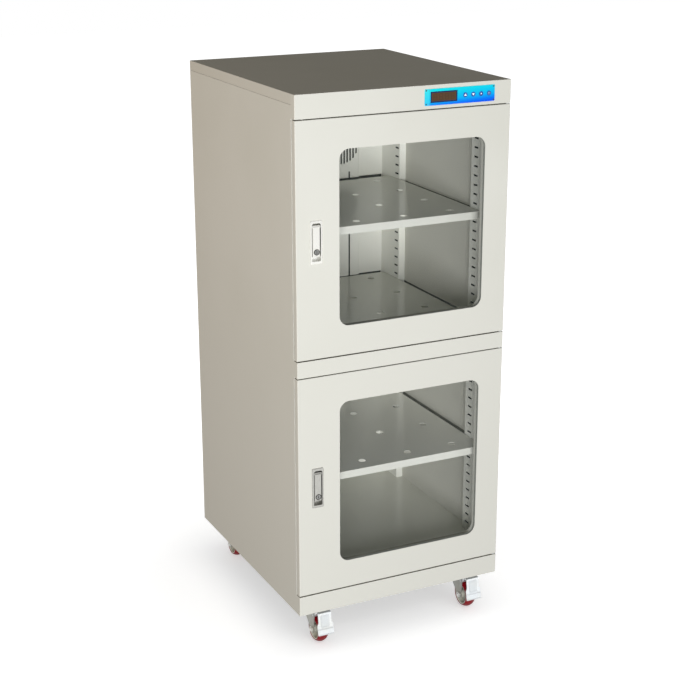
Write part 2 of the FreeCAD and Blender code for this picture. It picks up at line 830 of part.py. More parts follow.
def lock_lever():
    # A bar with a round head on a cross pin, a finger lip at its foot and a clear hole for the key barrel.
    lever = new_body("upper_lock_lever", "lock_x", "lever_y", "lock_z + lever_rise")
    front = "-lever_proud - lever_pin_depth"
    back = "%s + lever_thickness" % front
    half = "lever_width / 2"
    profile = outline(new_sketch(lever, "YZ", "-" + half), [
        (front, "0"), (back, "0"),
        (back, "-lever_length + lever_lip"), ("%s + lever_lip" % back, "-lever_length"),
        ("%s + lever_lip / 2" % front, "-lever_length"), (front, "-lever_length + lever_lip"),
    ])
    pad(lever, profile, "lever_width")
    soften(lever, "lever_round", lambda edge: runs_along(edge, "z") and lies_at(edge, "y", front))
    pad(lever, ring(new_sketch(lever, "YZ", "-" + half), "0", "0", "lever_head"), "lever_width")
    pin_half = "dish_width / 2 + lever_pin_hold - turn_clearance"
    pin = ring(new_sketch(lever, "YZ", "-(%s)" % pin_half), "0", "0", "lever_pin")
    pad(lever, pin, "2 * (%s)" % pin_half)
    hole = ring(new_sketch(lever, "XZ", front + " - cut_margin"), "0", "-lever_rise - barrel_drop",
                "barrel_radius + barrel_play")
    cut(lever, hole, "lever_thickness + lever_lip + 2 * cut_margin")
    return lever


def key_plug():
    # A key barrel, its shaft through the door and the cam on the shaft's end. The cam hangs down: unlocked.
    plug = new_body("upper_key_plug", "lock_x", "front_plane", "lock_z - barrel_drop")
    cam_front = "nose_depth + sheet_thickness + cam_clearance"
    cam_back = "%s + cam_thickness" % cam_front
    profile = outline(new_sketch(plug, "XY"), [
        ("0", "-lever_proud"), ("barrel_radius", "-lever_proud"), ("barrel_radius", "lock_depth"),
        ("plug_radius", "lock_depth"), ("plug_radius", cam_back), ("0", cam_back),
    ])
    revolve(plug, profile, "Y")
    half = "cam_width / 2"
    cam = rounded(new_sketch(plug, "XZ", cam_front), "-" + half, half, "-cam_reach", half, "plug_radius")
    pad(plug, cam, "cam_thickness")
    keyway = rectangle(new_sketch(plug, "XZ", "-lever_proud - cut_margin"), "-keyway_width / 2",
                       "keyway_width / 2", "-keyway_height / 2", "keyway_height / 2")
    cut(plug, keyway, "keyway_depth + cut_margin")
    return plug


def doors():
    glass = door_glass()
    pieces = {
        "door_skin": door_skin(), "door_liner": door_liner(), "door_glass": glass,
        "glass_gasket": glass_gasket(glass), "door_seal": door_seal(), "lock_case": lock_case(),
        "lock_lever": lock_lever(), "key_plug": key_plug(),
    }
    for name, piece in pieces.items():
        moved("lower_" + name, piece, z="-door_pitch")


def key_place(index):
    return "key_first + %d * key_pitch" % index


def control_panel():
    panel = new_body("control_overlay", "panel_x", "front_plane", "panel_z")
    face = rounded(new_sketch(panel, "XZ", "-panel_thickness"), "-panel_width / 2", "panel_width / 2",
                   "-panel_height / 2", "panel_height / 2", "panel_radius")
    half_wide, half_tall = "(display_width / 2 + display_fit)", "(display_height / 2 + display_fit)"
    rectangle(face, "-display_shift - " + half_wide, "-display_shift + " + half_wide,
              "-" + half_tall, half_tall)
    for i in range(4):
        ring(face, key_place(i), "0", "key_radius + key_clearance")
    pad(panel, face, "panel_thickness")

    display = new_body("display_module", "panel_x - display_shift", "front_plane", "panel_z")
    front = "display_recess - panel_thickness"
    pad(display, rectangle(new_sketch(display, "XZ", front), "-display_width / 2", "display_width / 2",
                           "-display_height / 2", "display_height / 2"), "board_setback - (%s)" % front)

    board = new_body("control_board", "panel_x", "front_plane + board_setback", "panel_z")
    half_wide, half_tall = "(panel_width / 2 - board_margin)", "(panel_height / 2 - board_margin)"
    pad(board, rectangle(new_sketch(board, "XZ"), "-" + half_wide, half_wide, "-" + half_tall, half_tall),
        "board_thickness")
    posts = new_sketch(board, "XZ", "-board_setback")
    for x in ("post_inset - panel_width / 2", "panel_width / 2 - post_inset"):
        for z in ("post_inset - panel_height / 2", "panel_height / 2 - post_inset"):
            ring(posts, x, z, "post_radius")
    pad(board, posts, "board_setback")
    switch_front = "key_flange_thickness + key_stem + key_travel + switch_gap"
    switches = new_sketch(board, "XZ", "%s - board_setback" % switch_front)
    for i in range(4):
        rectangle(switches, key_place(i) + " - switch_size / 2", key_place(i) + " + switch_size / 2",
                  "-switch_size / 2", "switch_size / 2")
    pad(board, switches, "board_setback - (%s)" % switch_front)

    for i, label in enumerate(("up_key", "down_key", "set_key", "power_key")):
        key = new_body(label, "panel_x + " + key_place(i), "front_plane", "panel_z")
        front = "-panel_thickness - key_proud"
        stem = "key_flange_thickness + key_stem"
        profile = outline(new_sketch(key, "XY"), [
            ("0", front), ("key_radius", front), ("key_radius", "0"), ("key_flange", "0"),
            ("key_flange", "key_flange_thickness"), ("key_stem_radius", "key_flange_thickness"),
            ("key_stem_radius", stem), ("0", stem),
        ])
        revolve(key, profile, "Y")


def post(name, y, width, slot_y):
    # A folded channel on the side wall with a ladder of slots in its inner face.
    body = new_body(name, "wall_inside", y, "floor_top", kept=False)
    fold = "sheet_thickness - post_depth"
    far = "%s - sheet_thickness" % width
    section = outline(new_sketch(body, "XY"), [
        ("-post_depth", "0"), ("0", "0"), ("0", "sheet_thickness"), (fold, "sheet_thickness"),
        (fold, far), ("0", far), ("0", width), ("-post_depth", width),
    ])
    pad(body, section, "chamber_height")
    slot = rectangle(new_sketch(body, "YZ", "-post_depth - cut_margin"),
                     slot_y + " - slot_length / 2", slot_y + " + slot_length / 2",
                     "first_slot - slot_height / 2", "first_slot + slot_height / 2")
    repeat(body, cut(body, slot, "sheet_thickness + 2 * cut_margin"), "Z", "slot_pitch",
           "floor((chamber_height - first_slot) / slot_pitch)")
    return body


def slotted_posts():
    front = post("front_post", "front_post_y", "front_post_width", "front_post_width / 2")
    rear = post("rear_post", "rear_post_y", "rear_post_width", "rear_slot_setback")
    others = [mirrored_part(part.Name + "_left", part, kept=False) for part in (front, rear)]
    group("slotted_uprights", [front, rear] + others)


def shelf_top(slot):
    return "slot_base + %s * slot_pitch - clip_drop + shelf_lip" % slot


def shelf(label, slot, depth, row_pitch):
    # A pan of sheet with a lip turned down all round, round corners and a grid of air holes.
    body = new_body(label, "0", "shelf_middle - %s / 2" % depth, shelf_top(slot))
    face = rounded(new_sketch(body, "XY", "-shelf_lip"), "-shelf_half", "shelf_half",
                   "0", depth, "shelf_radius")
    pad(body, face, "shelf_lip")
    inner = "(shelf_half - sheet_thickness)"
    hollow = rounded(new_sketch(body, "XY", "-shelf_lip - cut_margin"), "-" + inner, inner, "sheet_thickness",
                     "%s - sheet_thickness" % depth, "shelf_radius - sheet_thickness")
    cut(body, hollow, "shelf_lip + cut_margin - sheet_thickness")
    holes = new_sketch(body, "XY", "-sheet_thickness - cut_margin")
    steps_from_middle = (-1.5, -0.5, 0.5, 1.5)
    for row in steps_from_middle:
        for column in steps_from_middle:
            x, y = "%.1f * hole_column_pitch" % column, "%s / 2 + %.1f * %s" % (depth, row, row_pitch)
            ring(holes, x, y, "hole_radius")
    cut(body, holes, "sheet_thickness + 2 * cut_margin")


def clip(name, y, slot):
    # A bent clip: a tongue in a post's slot, a leg down the post and a ledge under the shelf's lip.
    height = "slot_base + %s * slot_pitch" % slot
    body = new_body(name, "post_face", y + " - clip_width / 2", height, kept=False)
    hook = "sheet_thickness + clip_hook"
    low = "-slot_height / 2"
    profile = outline(new_sketch(body, "XZ"), [
        ("-clip_reach", "-clip_drop - clip_thickness"), ("0", "-clip_drop - clip_thickness"), ("0", low),
        (hook, low), (hook, low + " + clip_tongue"), ("-clip_thickness", low + " + clip_tongue"),
        ("-clip_thickness", "-clip_drop"), ("-clip_reach", "-clip_drop"),
    ])
    pad(body, profile, "clip_width")
    return body


def shelves():
    clips = []
    for name, depth, row_pitch in (
        ("top_shelf", "top_shelf_depth", "top_hole_row_pitch"),
        ("middle_shelf", "shelf_depth", "hole_row_pitch"),
        ("bottom_shelf", "shelf_depth", "hole_row_pitch"),
    ):
        shelf(name, name + "_slot", depth, row_pitch)
        clips.append(clip(name + "_front_clip", "front_slot_y", name + "_slot"))
        clips.append(clip(name + "_rear_clip", "rear_slot_y", name + "_slot"))
    others = [mirrored_part(part.Name + "_left", part, kept=False) for part in clips]
    group("shelf_clips", clips + others)


def duct_cover():
    # A shallow pan up the back wall: a round vent of upright slots each side, and a tall slit under each.
    cover = new_body("air_duct_cover", "0", "liner_front - duct_depth", "floor_top + duct_base")
    height = "chamber_height - duct_base - duct_top_gap"
    half = "duct_width / 2"
    pad(cover, rectangle(new_sketch(cover, "XZ"), "-" + half, half, "0", height), "duct_depth")
    soften(cover, "duct_radius", lambda edge: lies_at(edge, "y", "0"))
    inside = rectangle(new_sketch(cover, "XZ", "sheet_thickness"), "sheet_thickness - " + half,
                       half + " - sheet_thickness", "sheet_thickness", "%s - sheet_thickness" % height)
    cut(cover, inside, "duct_depth")
    openings = new_sketch(cover, "XZ", "-cut_margin")
    centre = "vent_height - duct_base"
    slots_each_side = 5
    for i in range(-slots_each_side, slots_each_side + 1):
        x = "vent_offset + %d * vent_pitch" % i
        reach = "sqrt(vent_radius ^ 2 - (%d * vent_pitch) ^ 2)" % i
        rectangle(openings, x + " - vent_slot / 2", x + " + vent_slot / 2", "%s - %s" % (centre, reach),
                  "%s + %s" % (centre, reach))
    rectangle(openings, "slit_offset - slit_width / 2", "slit_offset + slit_width / 2", "slit_base",
              "%s - vent_radius - slit_top_gap" % centre)
    right = cut(cover, openings, "sheet_thickness + 2 * cut_margin")
    mirror_feature(cover, [right], "YZ")


def flap(label, y, tilt):
    # A sheet flap under a cross pin; the pin's ends turn in the housing's side walls.
    body = new_body(label, "0", y, "dryer_base + flap_rise", tilt)
    pin_half = "flap_half + flap_gap + flap_hold"
    pad(body, ring(new_sketch(body, "YZ", "-(%s)" % pin_half), "0", "0", "flap_pin"), "2 * (%s)" % pin_half)
    blade = rectangle(new_sketch(body, "XZ", "-flap_thickness / 2"), "-flap_half", "flap_half",
                      "-flap_length", "0")
    pad(body, blade, "flap_thickness")


def dryer():
    housing = new_body("dryer_housing", "0", "liner_back", "dryer_base")
    half = "dryer_width / 2"
    pad(housing, rectangle(new_sketch(housing, "XZ"), "-" + half, half, "0", "dryer_height"), "rear_space")
    inside = rectangle(new_sketch(housing, "XZ", "-cut_margin"), "dryer_wall - " + half,
                       half + " - dryer_wall", "dryer_wall", "dryer_height - dryer_wall")
    cut(housing, inside, "rear_space + cut_margin - dryer_wall")
    exhaust = new_sketch(housing, "XZ", "rear_space - dryer_wall - cut_margin")
    for i in (-1, 0, 1):
        x = "%d * intake_pitch" % i
        rectangle(exhaust, x + " - intake_width / 2", x + " + intake_width / 2",
                  "flap_rise - flap_length + flap_gap", "flap_rise - flap_pin - flap_gap")
    cut(housing, exhaust, "dryer_wall + 2 * cut_margin")
    pins = new_sketch(housing, "YZ", "-%s - cut_margin" % half)
    for y in ("flap_setback", "rear_space - dryer_wall - flap_setback"):
        ring(pins, y, "flap_rise", "flap_pin + flap_clearance")
    cut(housing, pins, "dryer_width + 2 * cut_margin")

    flap("inner_shutter", "liner_back + flap_setback", number("flap_tilt"))
    flap("outer_shutter", "liner_back + rear_space - dryer_wall - flap_setback", 0)

    cartridge = new_body("cartridge_box", "0", "liner_back + rear_space - dryer_wall - cartridge_depth",
                         "dryer_base + cartridge_rise", kept=False)
    wide = "cartridge_width / 2"
    face = rectangle(new_sketch(cartridge, "XZ"), "-" + wide, wide, "0", "cartridge_height")
    pad(cartridge, face, "cartridge_depth")
    groove = rectangle(new_sketch(cartridge, "XZ", "-cut_margin"), "rib_inset - " + wide,
                       "rib_inset + rib_width - " + wide, "rib_inset", "cartridge_height - rib_inset")
    repeat(cartridge, cut(cartridge, groove, "rib_depth + cut_margin"), "X", "rib_pitch",
           "floor((cartridge_width - 2 * rib_inset - rib_width) / rib_pitch) + 1")
    heater = doc.addObject("Part::Box", "heater_bar")
    bind(heater, "Length", "heater_width")
    bind(heater, "Width", "heater_depth")
    bind(heater, "Height", "heater_height")
    place(heater, "-heater_width / 2", "liner_back + rear_space - dryer_wall - heater_depth",
          "dryer_base + cartridge_rise - heater_height")
    group("desiccant_cartridge", [cartridge, heater])


def humidity_sensor():
    sensor = new_body("humidity_sensor", "0", "front_plane + sensor_setback", "fascia_base - sensor_height")
    face = rounded(new_sketch(sensor, "XY"), "-sensor_width / 2", "sensor_width / 2", "-sensor_depth / 2",
                   "sensor_depth / 2", "sensor_radius")
    pad(sensor, face, "sensor_height")
    slots = new_sketch(sensor, "XY", "-cut_margin")
    for i in range(-2, 3):
        x = "%d * sensor_slot_pitch" % i
        rectangle(slots, x + " - sensor_slot / 2", x + " + sensor_slot / 2",
                  "sensor_radius - sensor_depth / 2", "sensor_depth / 2 - sensor_radius")
    cut(sensor, slots, "cut_margin + sensor_height / 2")


def power_inlet():
    # A flanged three-blade socket set into the back panel.
    inlet = new_body("power_inlet", "inlet_x", "back_plane", "ride_height + inlet_height")
    flange = rounded(new_sketch(inlet, "XZ"), "-inlet_flange_width / 2", "inlet_flange_width / 2",
                     "-inlet_flange_height / 2", "inlet_flange_height / 2", "inlet_radius")
    pad(inlet, flange, "rear_reach")
    wide, tall = "inlet_width / 2", "inlet_tall / 2"
    case = rectangle(new_sketch(inlet, "XZ", "-inlet_depth"), "-" + wide, wide, "-" + tall, tall)
    pad(inlet, case, "inlet_depth")
    side, top = wide + " - inlet_wall", tall + " - inlet_wall"
    shoulder, crown = side + " - inlet_radius", top + " - inlet_radius"
    socket = outline(new_sketch(inlet, "XZ", "rear_reach - inlet_socket"), [
        ("-(%s)" % side, "-(%s)" % top), (side, "-(%s)" % top), (side, crown), (shoulder, top),
        ("-(%s)" % shoulder, top), ("-(%s)" % side, crown),
    ])
    cut(inlet, socket, "inlet_socket + cut_margin")
    blades = new_sketch(inlet, "XZ", "rear_reach - inlet_socket")
    for i, lift in ((-1, "-blade_shift"), (0, "blade_shift"), (1, "-blade_shift")):
        x = "%d * blade_pitch" % i
        rectangle(blades, x + " - blade_width / 2", x + " + blade_width / 2", lift + " - blade_height / 2",
                  lift + " + blade_height / 2")
    pad(inlet, blades, "blade_length")


def caster_plate(name, x, y, kept=False):
    # The bolted top plate of a caster, with its four bolt holes.
    body = new_body(name, x, y, "ride_height", kept=kept)
    face = rounded(new_sketch(body, "XY", "-plate_thickness"), "-plate_width / 2", "plate_width / 2",
                   "-plate_length / 2", "plate_length / 2", "plate_radius")
    for across in ("-bolt_across / 2", "bolt_across / 2"):
        for along in ("-bolt_along / 2", "bolt_along / 2"):
            ring(face, across, along, "bolt_radius")
    pad(body, face, "plate_thickness")
    return body


def front_plates():
    # Swivel plates: the upper ball race and the kingpin are riveted to the plate.
    plate = caster_plate("swivel_plate", "-caster_x", "kingpin_y")
    pad(plate, ring(new_sketch(plate, "XY", "-race_base"), "0", "0", "race_radius"), "race_depth")
    head = "crown_under + swivel_gap"
    shank = ring(new_sketch(plate, "XY", "-(%s)" % head), "0", "0", "kingpin_radius")
    pad(plate, shank, "%s - race_base" % head)
    rivet = ring(new_sketch(plate, "XY", "-(%s) - kingpin_head_depth" % head), "0", "0", "kingpin_head")
    pad(plate, rivet, "kingpin_head_depth")
    group("front_caster_plates", [plate, moved("swivel_plate_right", plate, x="2 * caster_x", kept=False)])


def axle(name, x, y):
    body = new_body(name, x, y, "wheel_radius", kept=False)
    end = "fork_outside + axle_head_depth"
    profile = outline(new_sketch(body, "XZ"), [
        ("-(%s)" % end, "0"), (end, "0"), (end, "axle_head"), ("fork_outside", "axle_head"),
        ("fork_outside", "axle_radius"), ("-(fork_outside)", "axle_radius"), ("-(fork_outside)", "axle_head"),
        ("-(%s)" % end, "axle_head"),
    ])
    revolve(body, profile, "X")
    return body


def fork_legs(body, corners, eye_y, roof_drop):
    # Two legs under a crown: the side outline padded across, its inside cut away, and an eye for the axle.
    pad(body, outline(new_sketch(body, "YZ", "-(fork_outside)"), corners), "2 * fork_outside")
    eye = ring(new_sketch(body, "YZ", "-(fork_outside)"), eye_y, "-axle_drop", "eye_radius")
    pad(body, eye, "2 * fork_outside")
    clear = "caster_trail + eye_radius + fork_nose"
    inside = rectangle(new_sketch(body, "YZ", "-(fork_inside)"), "-(%s)" % clear, clear, "-ride_height",
                       "-(%s)" % roof_drop)
    cut(body, inside, "2 * fork_inside")
    bore = ring(new_sketch(body, "YZ", "-fork_outside - cut_margin"), eye_y, "-axle_drop", "axle_radius")
    cut(body, bore, "2 * fork_outside + 2 * cut_margin")


def front_fork():
    fork = new_body("left_fork_legs", "-caster_x", "kingpin_y", "ride_height", kept=False)
    brow = "-crown_base - fork_brow"
    fork_legs(fork, [
        ("fork_back", "-(crown_base)"), ("-fork_front", "-(crown_base)"), ("-fork_nose", brow),
        ("-caster_trail - eye_radius", "-axle_drop"), ("eye_radius - caster_trail", "-axle_drop"),
        ("fork_back", "-crown_base - fork_heel"),
    ], "-caster_trail", "crown_under")
    crown = ring(new_sketch(fork, "XY", "-(crown_base)"), "0", "0", "race_radius + fork_thickness")
    pad(fork, crown, "crown_depth")
    hole = ring(new_sketch(fork, "XY", "-crown_under - cut_margin"), "0", "0",
                "kingpin_radius + turn_clearance")
    cut(fork, hole, "crown_under - crown_top + 2 * cut_margin")
    pivot = ring(new_sketch(fork, "YZ", "-fork_outside - cut_margin"), "-pedal_pivot", "-pedal_pivot_drop",
                 "pedal_pin + turn_clearance")
    cut(fork, pivot, "2 * fork_outside + 2 * cut_margin")
    return fork


def brake_pedal():
    # A bent plate in front of the wheel: an arm back to its pin in the fork, and an apron with a pressed dish
    # and a flared, folded foot to step on.
    pedal = new_body("left_brake_pedal", "-caster_x", "kingpin_y", "ride_height")
    tip = "(caster_setback + pedal_reach)"
    corners = [
        ("pedal_eye - pedal_pivot", "-pedal_pivot_drop"),
        ("-pedal_pivot", "pedal_eye - pedal_pivot_drop"),
        ("-pedal_brow", "-pedal_top_drop"),
        ("apron_y", "-(apron_drop)"),
        ("crease_y", "-pedal_crease"),
        ("-" + tip, "-pedal_tip_drop"),
        ("pedal_thickness - " + tip, "-pedal_tip_drop - pedal_thickness / 2"),
        ("pedal_thickness + crease_y", "-pedal_crease - pedal_thickness / 2"),
        ("pedal_thickness + apron_y", "-pedal_top_drop - pedal_fold"),
        ("-pedal_brow", "-pedal_top_drop - pedal_root"),
        ("-pedal_pivot - pedal_thickness", "-pedal_pivot_drop - pedal_eye / 2"),
    ]
    pad(pedal, outline(new_sketch(pedal, "YZ", "-pedal_width / 2"), corners), "pedal_width")
    for side in ("-pedal_width / 2", "pedal_arm_width / 2"):
        notch = rectangle(new_sketch(pedal, "YZ", side), "-fork_nose - cut_margin", "cut_margin",
                          "-2 * pedal_pivot_drop", "0")
        cut(pedal, notch, "(pedal_width - pedal_arm_width) / 2")
    sides = new_sketch(pedal, "XZ", "-%s - cut_margin" % tip)
    for sign in ("-", ""):
        edge, neck = sign + "(pedal_width / 2 + cut_margin)", sign + "(pedal_neck / 2)"
        outline(sides, [(edge, "cut_margin"), (neck, "cut_margin"), (neck, "-pedal_flare"),
                        (edge, "-pedal_flare - pedal_flare_drop")])
    cut(pedal, sides, "%s + cut_margin" % tip)
    face = "apron_y + apron_lean * (%s - (apron_drop))"
    top, base = face % "pedal_dish_top", face % "pedal_dish_base"
    dish = outline(new_sketch(pedal, "YZ", "-pedal_dish_width / 2"), [
        (top + " - cut_margin", "-pedal_dish_top"), (top + " + pedal_dish_depth", "-pedal_dish_top"),
        (base + " + pedal_dish_depth", "-pedal_dish_base"), (base + " - cut_margin", "-pedal_dish_base"),
    ])
    cut(pedal, dish, "pedal_dish_width")
    eye = ring(new_sketch(pedal, "YZ", "-pedal_arm_width / 2"), "-pedal_pivot", "-pedal_pivot_drop",
               "pedal_eye")
    pad(pedal, eye, "pedal_arm_width")
    pin = ring(new_sketch(pedal, "YZ", "-(fork_outside)"), "-pedal_pivot", "-pedal_pivot_drop", "pedal_pin")
    pad(pedal, pin, "2 * fork_outside")
    return pedal


def wheel(label, x, y):
    body = new_body(label, x, y, "wheel_radius")
    hub, rim = "(wheel_width / 2 + hub_overhang)", "(wheel_width / 2 - rim_inset)"
    bore = "axle_radius + turn_clearance"
    inner = "rim_radius - rim_depth"
    neck = "hub_radius + hub_overhang"
    half = [
        (hub, bore), (hub, "hub_radius"), ("web_half", neck), ("web_half", "%s - rim_inset" % inner),
        (rim, inner), (rim, "rim_radius"),
    ]
    other = [("-" + x if x.startswith("(") else "-(%s)" % x, z) for x, z in reversed(half)]
    revolve(body, outline(new_sketch(body, "XZ"), half + other), "X")
    return body


def tyre(label, x, y):
    body = new_body(label, x, y, "wheel_radius")
    band = crowned(new_sketch(body, "XZ"), "wheel_width / 2", "rim_radius", "rim_radius + tyre_side",
                   "wheel_radius")
    revolve(body, band, "X")
    return body


def casters():
    front_plates()
    across = "2 * caster_x"
    legs = front_fork()
    pin = axle("left_axle", "-caster_x", "front_axle_y")
    fork = group("left_caster_fork", [legs, pin])
    front_wheel = wheel("left_caster_wheel", "-caster_x", "front_axle_y")
    front_tyre = tyre("left_caster_tyre", "-caster_x", "front_axle_y")
    pedal = brake_pedal()
    moved("right_caster_fork", fork, x=across)
    moved("right_caster_wheel", front_wheel, x=across)
    moved("right_caster_tyre", front_tyre, x=across)
    moved("right_brake_pedal", pedal, x=across)

    bracket = caster_plate("rear_bracket", "-caster_x", "rear_axle_y")
    fork_legs(bracket, [
        ("rear_fork_half", "-plate_thickness"), ("-rear_fork_half", "-plate_thickness"),
        ("-eye_radius", "-axle_drop"), ("eye_radius", "-axle_drop"),
    ], "0", "plate_thickness + fork_thickness")
    rear_axle = axle("rear_axle", "-caster_x", "rear_axle_y")
    pair = [bracket, rear_axle]
    others = [moved(part.Name + "_right", part, x=across, kept=False) for part in pair]
    group("rear_caster_brackets", pair + others)
    back = "rear_axle_y - (front_axle_y)"
    for side, shift in (("left", "0"), ("right", across)):
        moved("rear_%s_wheel" % side, front_wheel, x=shift, y=back)
        moved("rear_%s_tyre" % side, front_tyre, x=shift, y=back)


def check():
    # Every object computed, every cut took something away, every sub-part is whole.
    for thing in doc.Objects:
        for word in ("Invalid", "Error"):
            if word in thing.State:
                raise RuntimeError("%s failed: %s" % (thing.Label, thing.State))
        if thing.TypeId == "PartDesign::Pocket":
            before = thing.BaseFeature.Shape.Volume
            if before - thing.Shape.Volume < 1e-3:
                raise RuntimeError("%s cuts nothing" % thing.Label)
    for node in nodes:
        if node.Shape.isNull() or not node.Shape.isValid() or not node.Shape.Solids:
            raise RuntimeError("%s has no sound shape" % node.Label)


def write():
    os.makedirs("parts", exist_ok=True)
    for node in nodes:
        node.Shape.exportStep("parts/%s.step" % node.Label)
        print(node.Label, len(node.Shape.Solids), "solids,", round(node.Shape.Volume), "mm3")
    print(len(nodes), "nodes")


side_panels()
back_panel()
inner_back_panel()
top_cover()
flat_panels()
front_bands()
hinge_pins()
doors()
control_panel()
slotted_posts()
shelves()
duct_cover()
dryer()
humidity_sensor()
power_inlet()
casters()
doc.recompute()
check()
write()
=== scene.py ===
import math
import bmesh
import bpy
import numpy as np
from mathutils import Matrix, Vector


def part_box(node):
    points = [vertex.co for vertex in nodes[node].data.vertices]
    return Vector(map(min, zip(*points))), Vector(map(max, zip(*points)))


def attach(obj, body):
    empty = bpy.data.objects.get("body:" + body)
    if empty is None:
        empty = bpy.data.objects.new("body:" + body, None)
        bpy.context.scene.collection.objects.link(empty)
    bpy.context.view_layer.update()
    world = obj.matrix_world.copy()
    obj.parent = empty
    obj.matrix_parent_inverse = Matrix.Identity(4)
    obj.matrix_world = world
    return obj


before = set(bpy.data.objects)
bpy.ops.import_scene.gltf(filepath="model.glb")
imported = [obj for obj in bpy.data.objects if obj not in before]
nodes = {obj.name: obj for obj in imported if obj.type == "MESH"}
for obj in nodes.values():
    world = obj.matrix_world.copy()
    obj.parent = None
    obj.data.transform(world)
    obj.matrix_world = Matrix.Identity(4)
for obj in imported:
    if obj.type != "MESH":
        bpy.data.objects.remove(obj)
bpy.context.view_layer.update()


# A socket of a node tree. Sums, products and comparisons of sockets add Math nodes.
class Wire:
    def __init__(self, tree, socket=None):
        self.tree = tree
        self.socket = socket

    # node type, its settings (set first), then values or links of its sockets
    def add(self, kind, settings=None, sockets=None, output=0):
        node = self.tree.nodes.new("ShaderNode" + kind)
        for name, value in (settings or {}).items():
            if name == "stops":
                ramp = node.color_ramp.elements
                while len(ramp) < len(value):
                    ramp.new(0.5)
                for stop, (place, colour) in zip(ramp, value):
                    stop.position, stop.color = place, (*colour, 1)
            else:
                setattr(node, name, value)
        for key, value in (sockets or {}).items():
            if isinstance(value, Wire):
                self.tree.links.new(value.socket, node.inputs[key])
            else:
                node.inputs[key].default_value = value
        return Wire(self.tree, node.outputs[output] if node.outputs else None)

    def math(self, operation, first, second=0.0):
        return self.add("Math", {"operation": operation}, {0: first, 1: second})

    def __add__(self, other): return self.math("ADD", self, other)
    def __radd__(self, other): return self.math("ADD", other, self)
    def __sub__(self, other): return self.math("SUBTRACT", self, other)
    def __rsub__(self, other): return self.math("SUBTRACT", other, self)
    def __mul__(self, other): return self.math("MULTIPLY", self, other)
    def __rmul__(self, other): return self.math("MULTIPLY", other, self)
    def __truediv__(self, other): return self.math("DIVIDE", self, other)
    def __pow__(self, other): return self.math("POWER", self, other)
    def __neg__(self): return self.math("MULTIPLY", self, -1.0)
    def __abs__(self): return self.math("ABSOLUTE", self)
    def __lt__(self, other): return self.math("LESS_THAN", self, other)
    def __gt__(self, other): return self.math("GREATER_THAN", self, other)
    def __or__(self, other): return self.math("MAXIMUM", self, other)

    # 0 below low, 1 above high, smooth between
    def rise(self, low, high):
        settings = {"interpolation_type": "SMOOTHSTEP"}
        return self.add("MapRange", settings, {0: self, 1: low, 2: high})

    # this colour where the mask is 0, the other where it is 1
    def into(self, other, mask):
        return blendColours(self, self, other, mask)


# Sockets 6 and 7 of a Mix node take its colours, and output 2 gives the blend
def blendColours(wire, first, second, mask):
    sockets = {0: mask}
    for key, colour in ((6, first), (7, second)):
        sockets[key] = colour if isinstance(colour, Wire) else (*colour, 1)
    return wire.add("Mix", {"data_type": "RGBA"}, sockets, 2)


def newFinish(name):
    material = bpy.data.materials.new(name)
    material.use_nodes = True
    material.node_tree.nodes.clear()
    return material, Wire(material.node_tree)


def objectSpot(start):
    return start.add("TexCoord", output="Object")


# The asked axes of object coordinates, in metres
def partsOf(start, spot, axes):
    return [start.add("SeparateXYZ", sockets={0: spot}, output=axis) for axis in axes]


def noise(start, spot, scale, detail=2.0, stretch=None):
    if stretch:
        spot = start.add("Mapping", sockets={"Vector": spot, "Scale": stretch})
    return start.add("TexNoise", sockets={"Vector": spot, "Scale": scale, "Detail": detail})


# A level that goes up and down with a noise of 0 to 1
def wander(level, wave, spread):
    return level + (wave - 0.5) * spread


def bump(start, height, distance, strength=1.0):
    return start.add("Bump", sockets={"Height": height, "Distance": distance, "Strength": strength})


def close(start, **sockets):
    names = {"colour": "Base Color", "roughness": "Roughness", "metallic": "Metallic", "normal": "Normal",
             "coat": "Coat Weight", "coatRoughness": "Coat Roughness", "specular": "Specular IOR Level"}
    shader = start.add("BsdfPrincipled", sockets={names[key]: value for key, value in sockets.items()})
    start.add("OutputMaterial", sockets={"Surface": shader})


# sRGB of 0 to 255 to the linear colour that shaders use
def rgb(red, green, blue):
    share = np.array([red, green, blue]) / 255
    return tuple(np.where(share <= 0.04045, share / 12.92, ((share + 0.055) / 1.055) ** 2.4).tolist())


def middleOf(node):
    low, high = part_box(node)
    return [(a + b) / 2 for a, b in zip(low, high)]


def dress(material, *names):
    for name in names:
        piece = nodes[name]
        if not piece.material_slots:
            piece.data.materials.append(material)
        for slot in piece.material_slots:
            slot.material = material


# Baked powder coat: a fine orange peel, slow drifts of tone, painted shade that darkens it towards the foot, a
# tone on upward faces that is part dust and part painted light, and painted shade in listed boxes
def powderCoat(name, coat):
    material, start = newFinish(name)
    spot = objectSpot(start)
    x, y, z = partsOf(start, spot, "XYZ")
    peel = noise(start, spot, 1 / coat["grain"])
    drift = noise(start, spot, coat["driftScale"], 3.0)
    speck = noise(start, spot, baking["speckScale"])
    tone = blendColours(start, coat["light"], coat["shade"], drift.rise(*baking["driftBand"]))
    # painted shade: the tone falls towards the foot
    if "foot" in coat:
        tone = tone.into(coat["foot"], 1 - z.rise(*coat["footReach"]))
    # upward faces take the dusty tone, part dust and part painted shade
    facing = start.add("NewGeometry", output="Normal")
    upward = start.add("SeparateXYZ", sockets={0: facing}, output="Z").rise(*baking["upwardBand"])
    cover = baking["dustAndPaintedLightLeast"] + drift * baking["dustAndPaintedLightDrift"]
    tone = tone.into(coat["dusty"], upward * coat["dustAndPaintedLightShare"] * cover)
    # painted shade: each listed box takes its dark tone
    for low, high, dark in coat.get("shaded", []):
        inside = (abs(x) > low[0]) * (abs(x) < high[0])
        for axis, first, last in ((y, low[1], high[1]), (z, low[2], high[2])):
            inside = inside * (axis > first) * (axis < last)
        tone = tone.into(dark, inside)
    matt = baking["mattLeast"] + speck * baking["mattSpeck"] + upward * baking["mattDust"]
    close(start, colour=tone, roughness=coat["roughness"] * matt, specular=coat["specular"],
          normal=bump(start, peel, coat["peel"], baking["peelStrength"]))
    return material


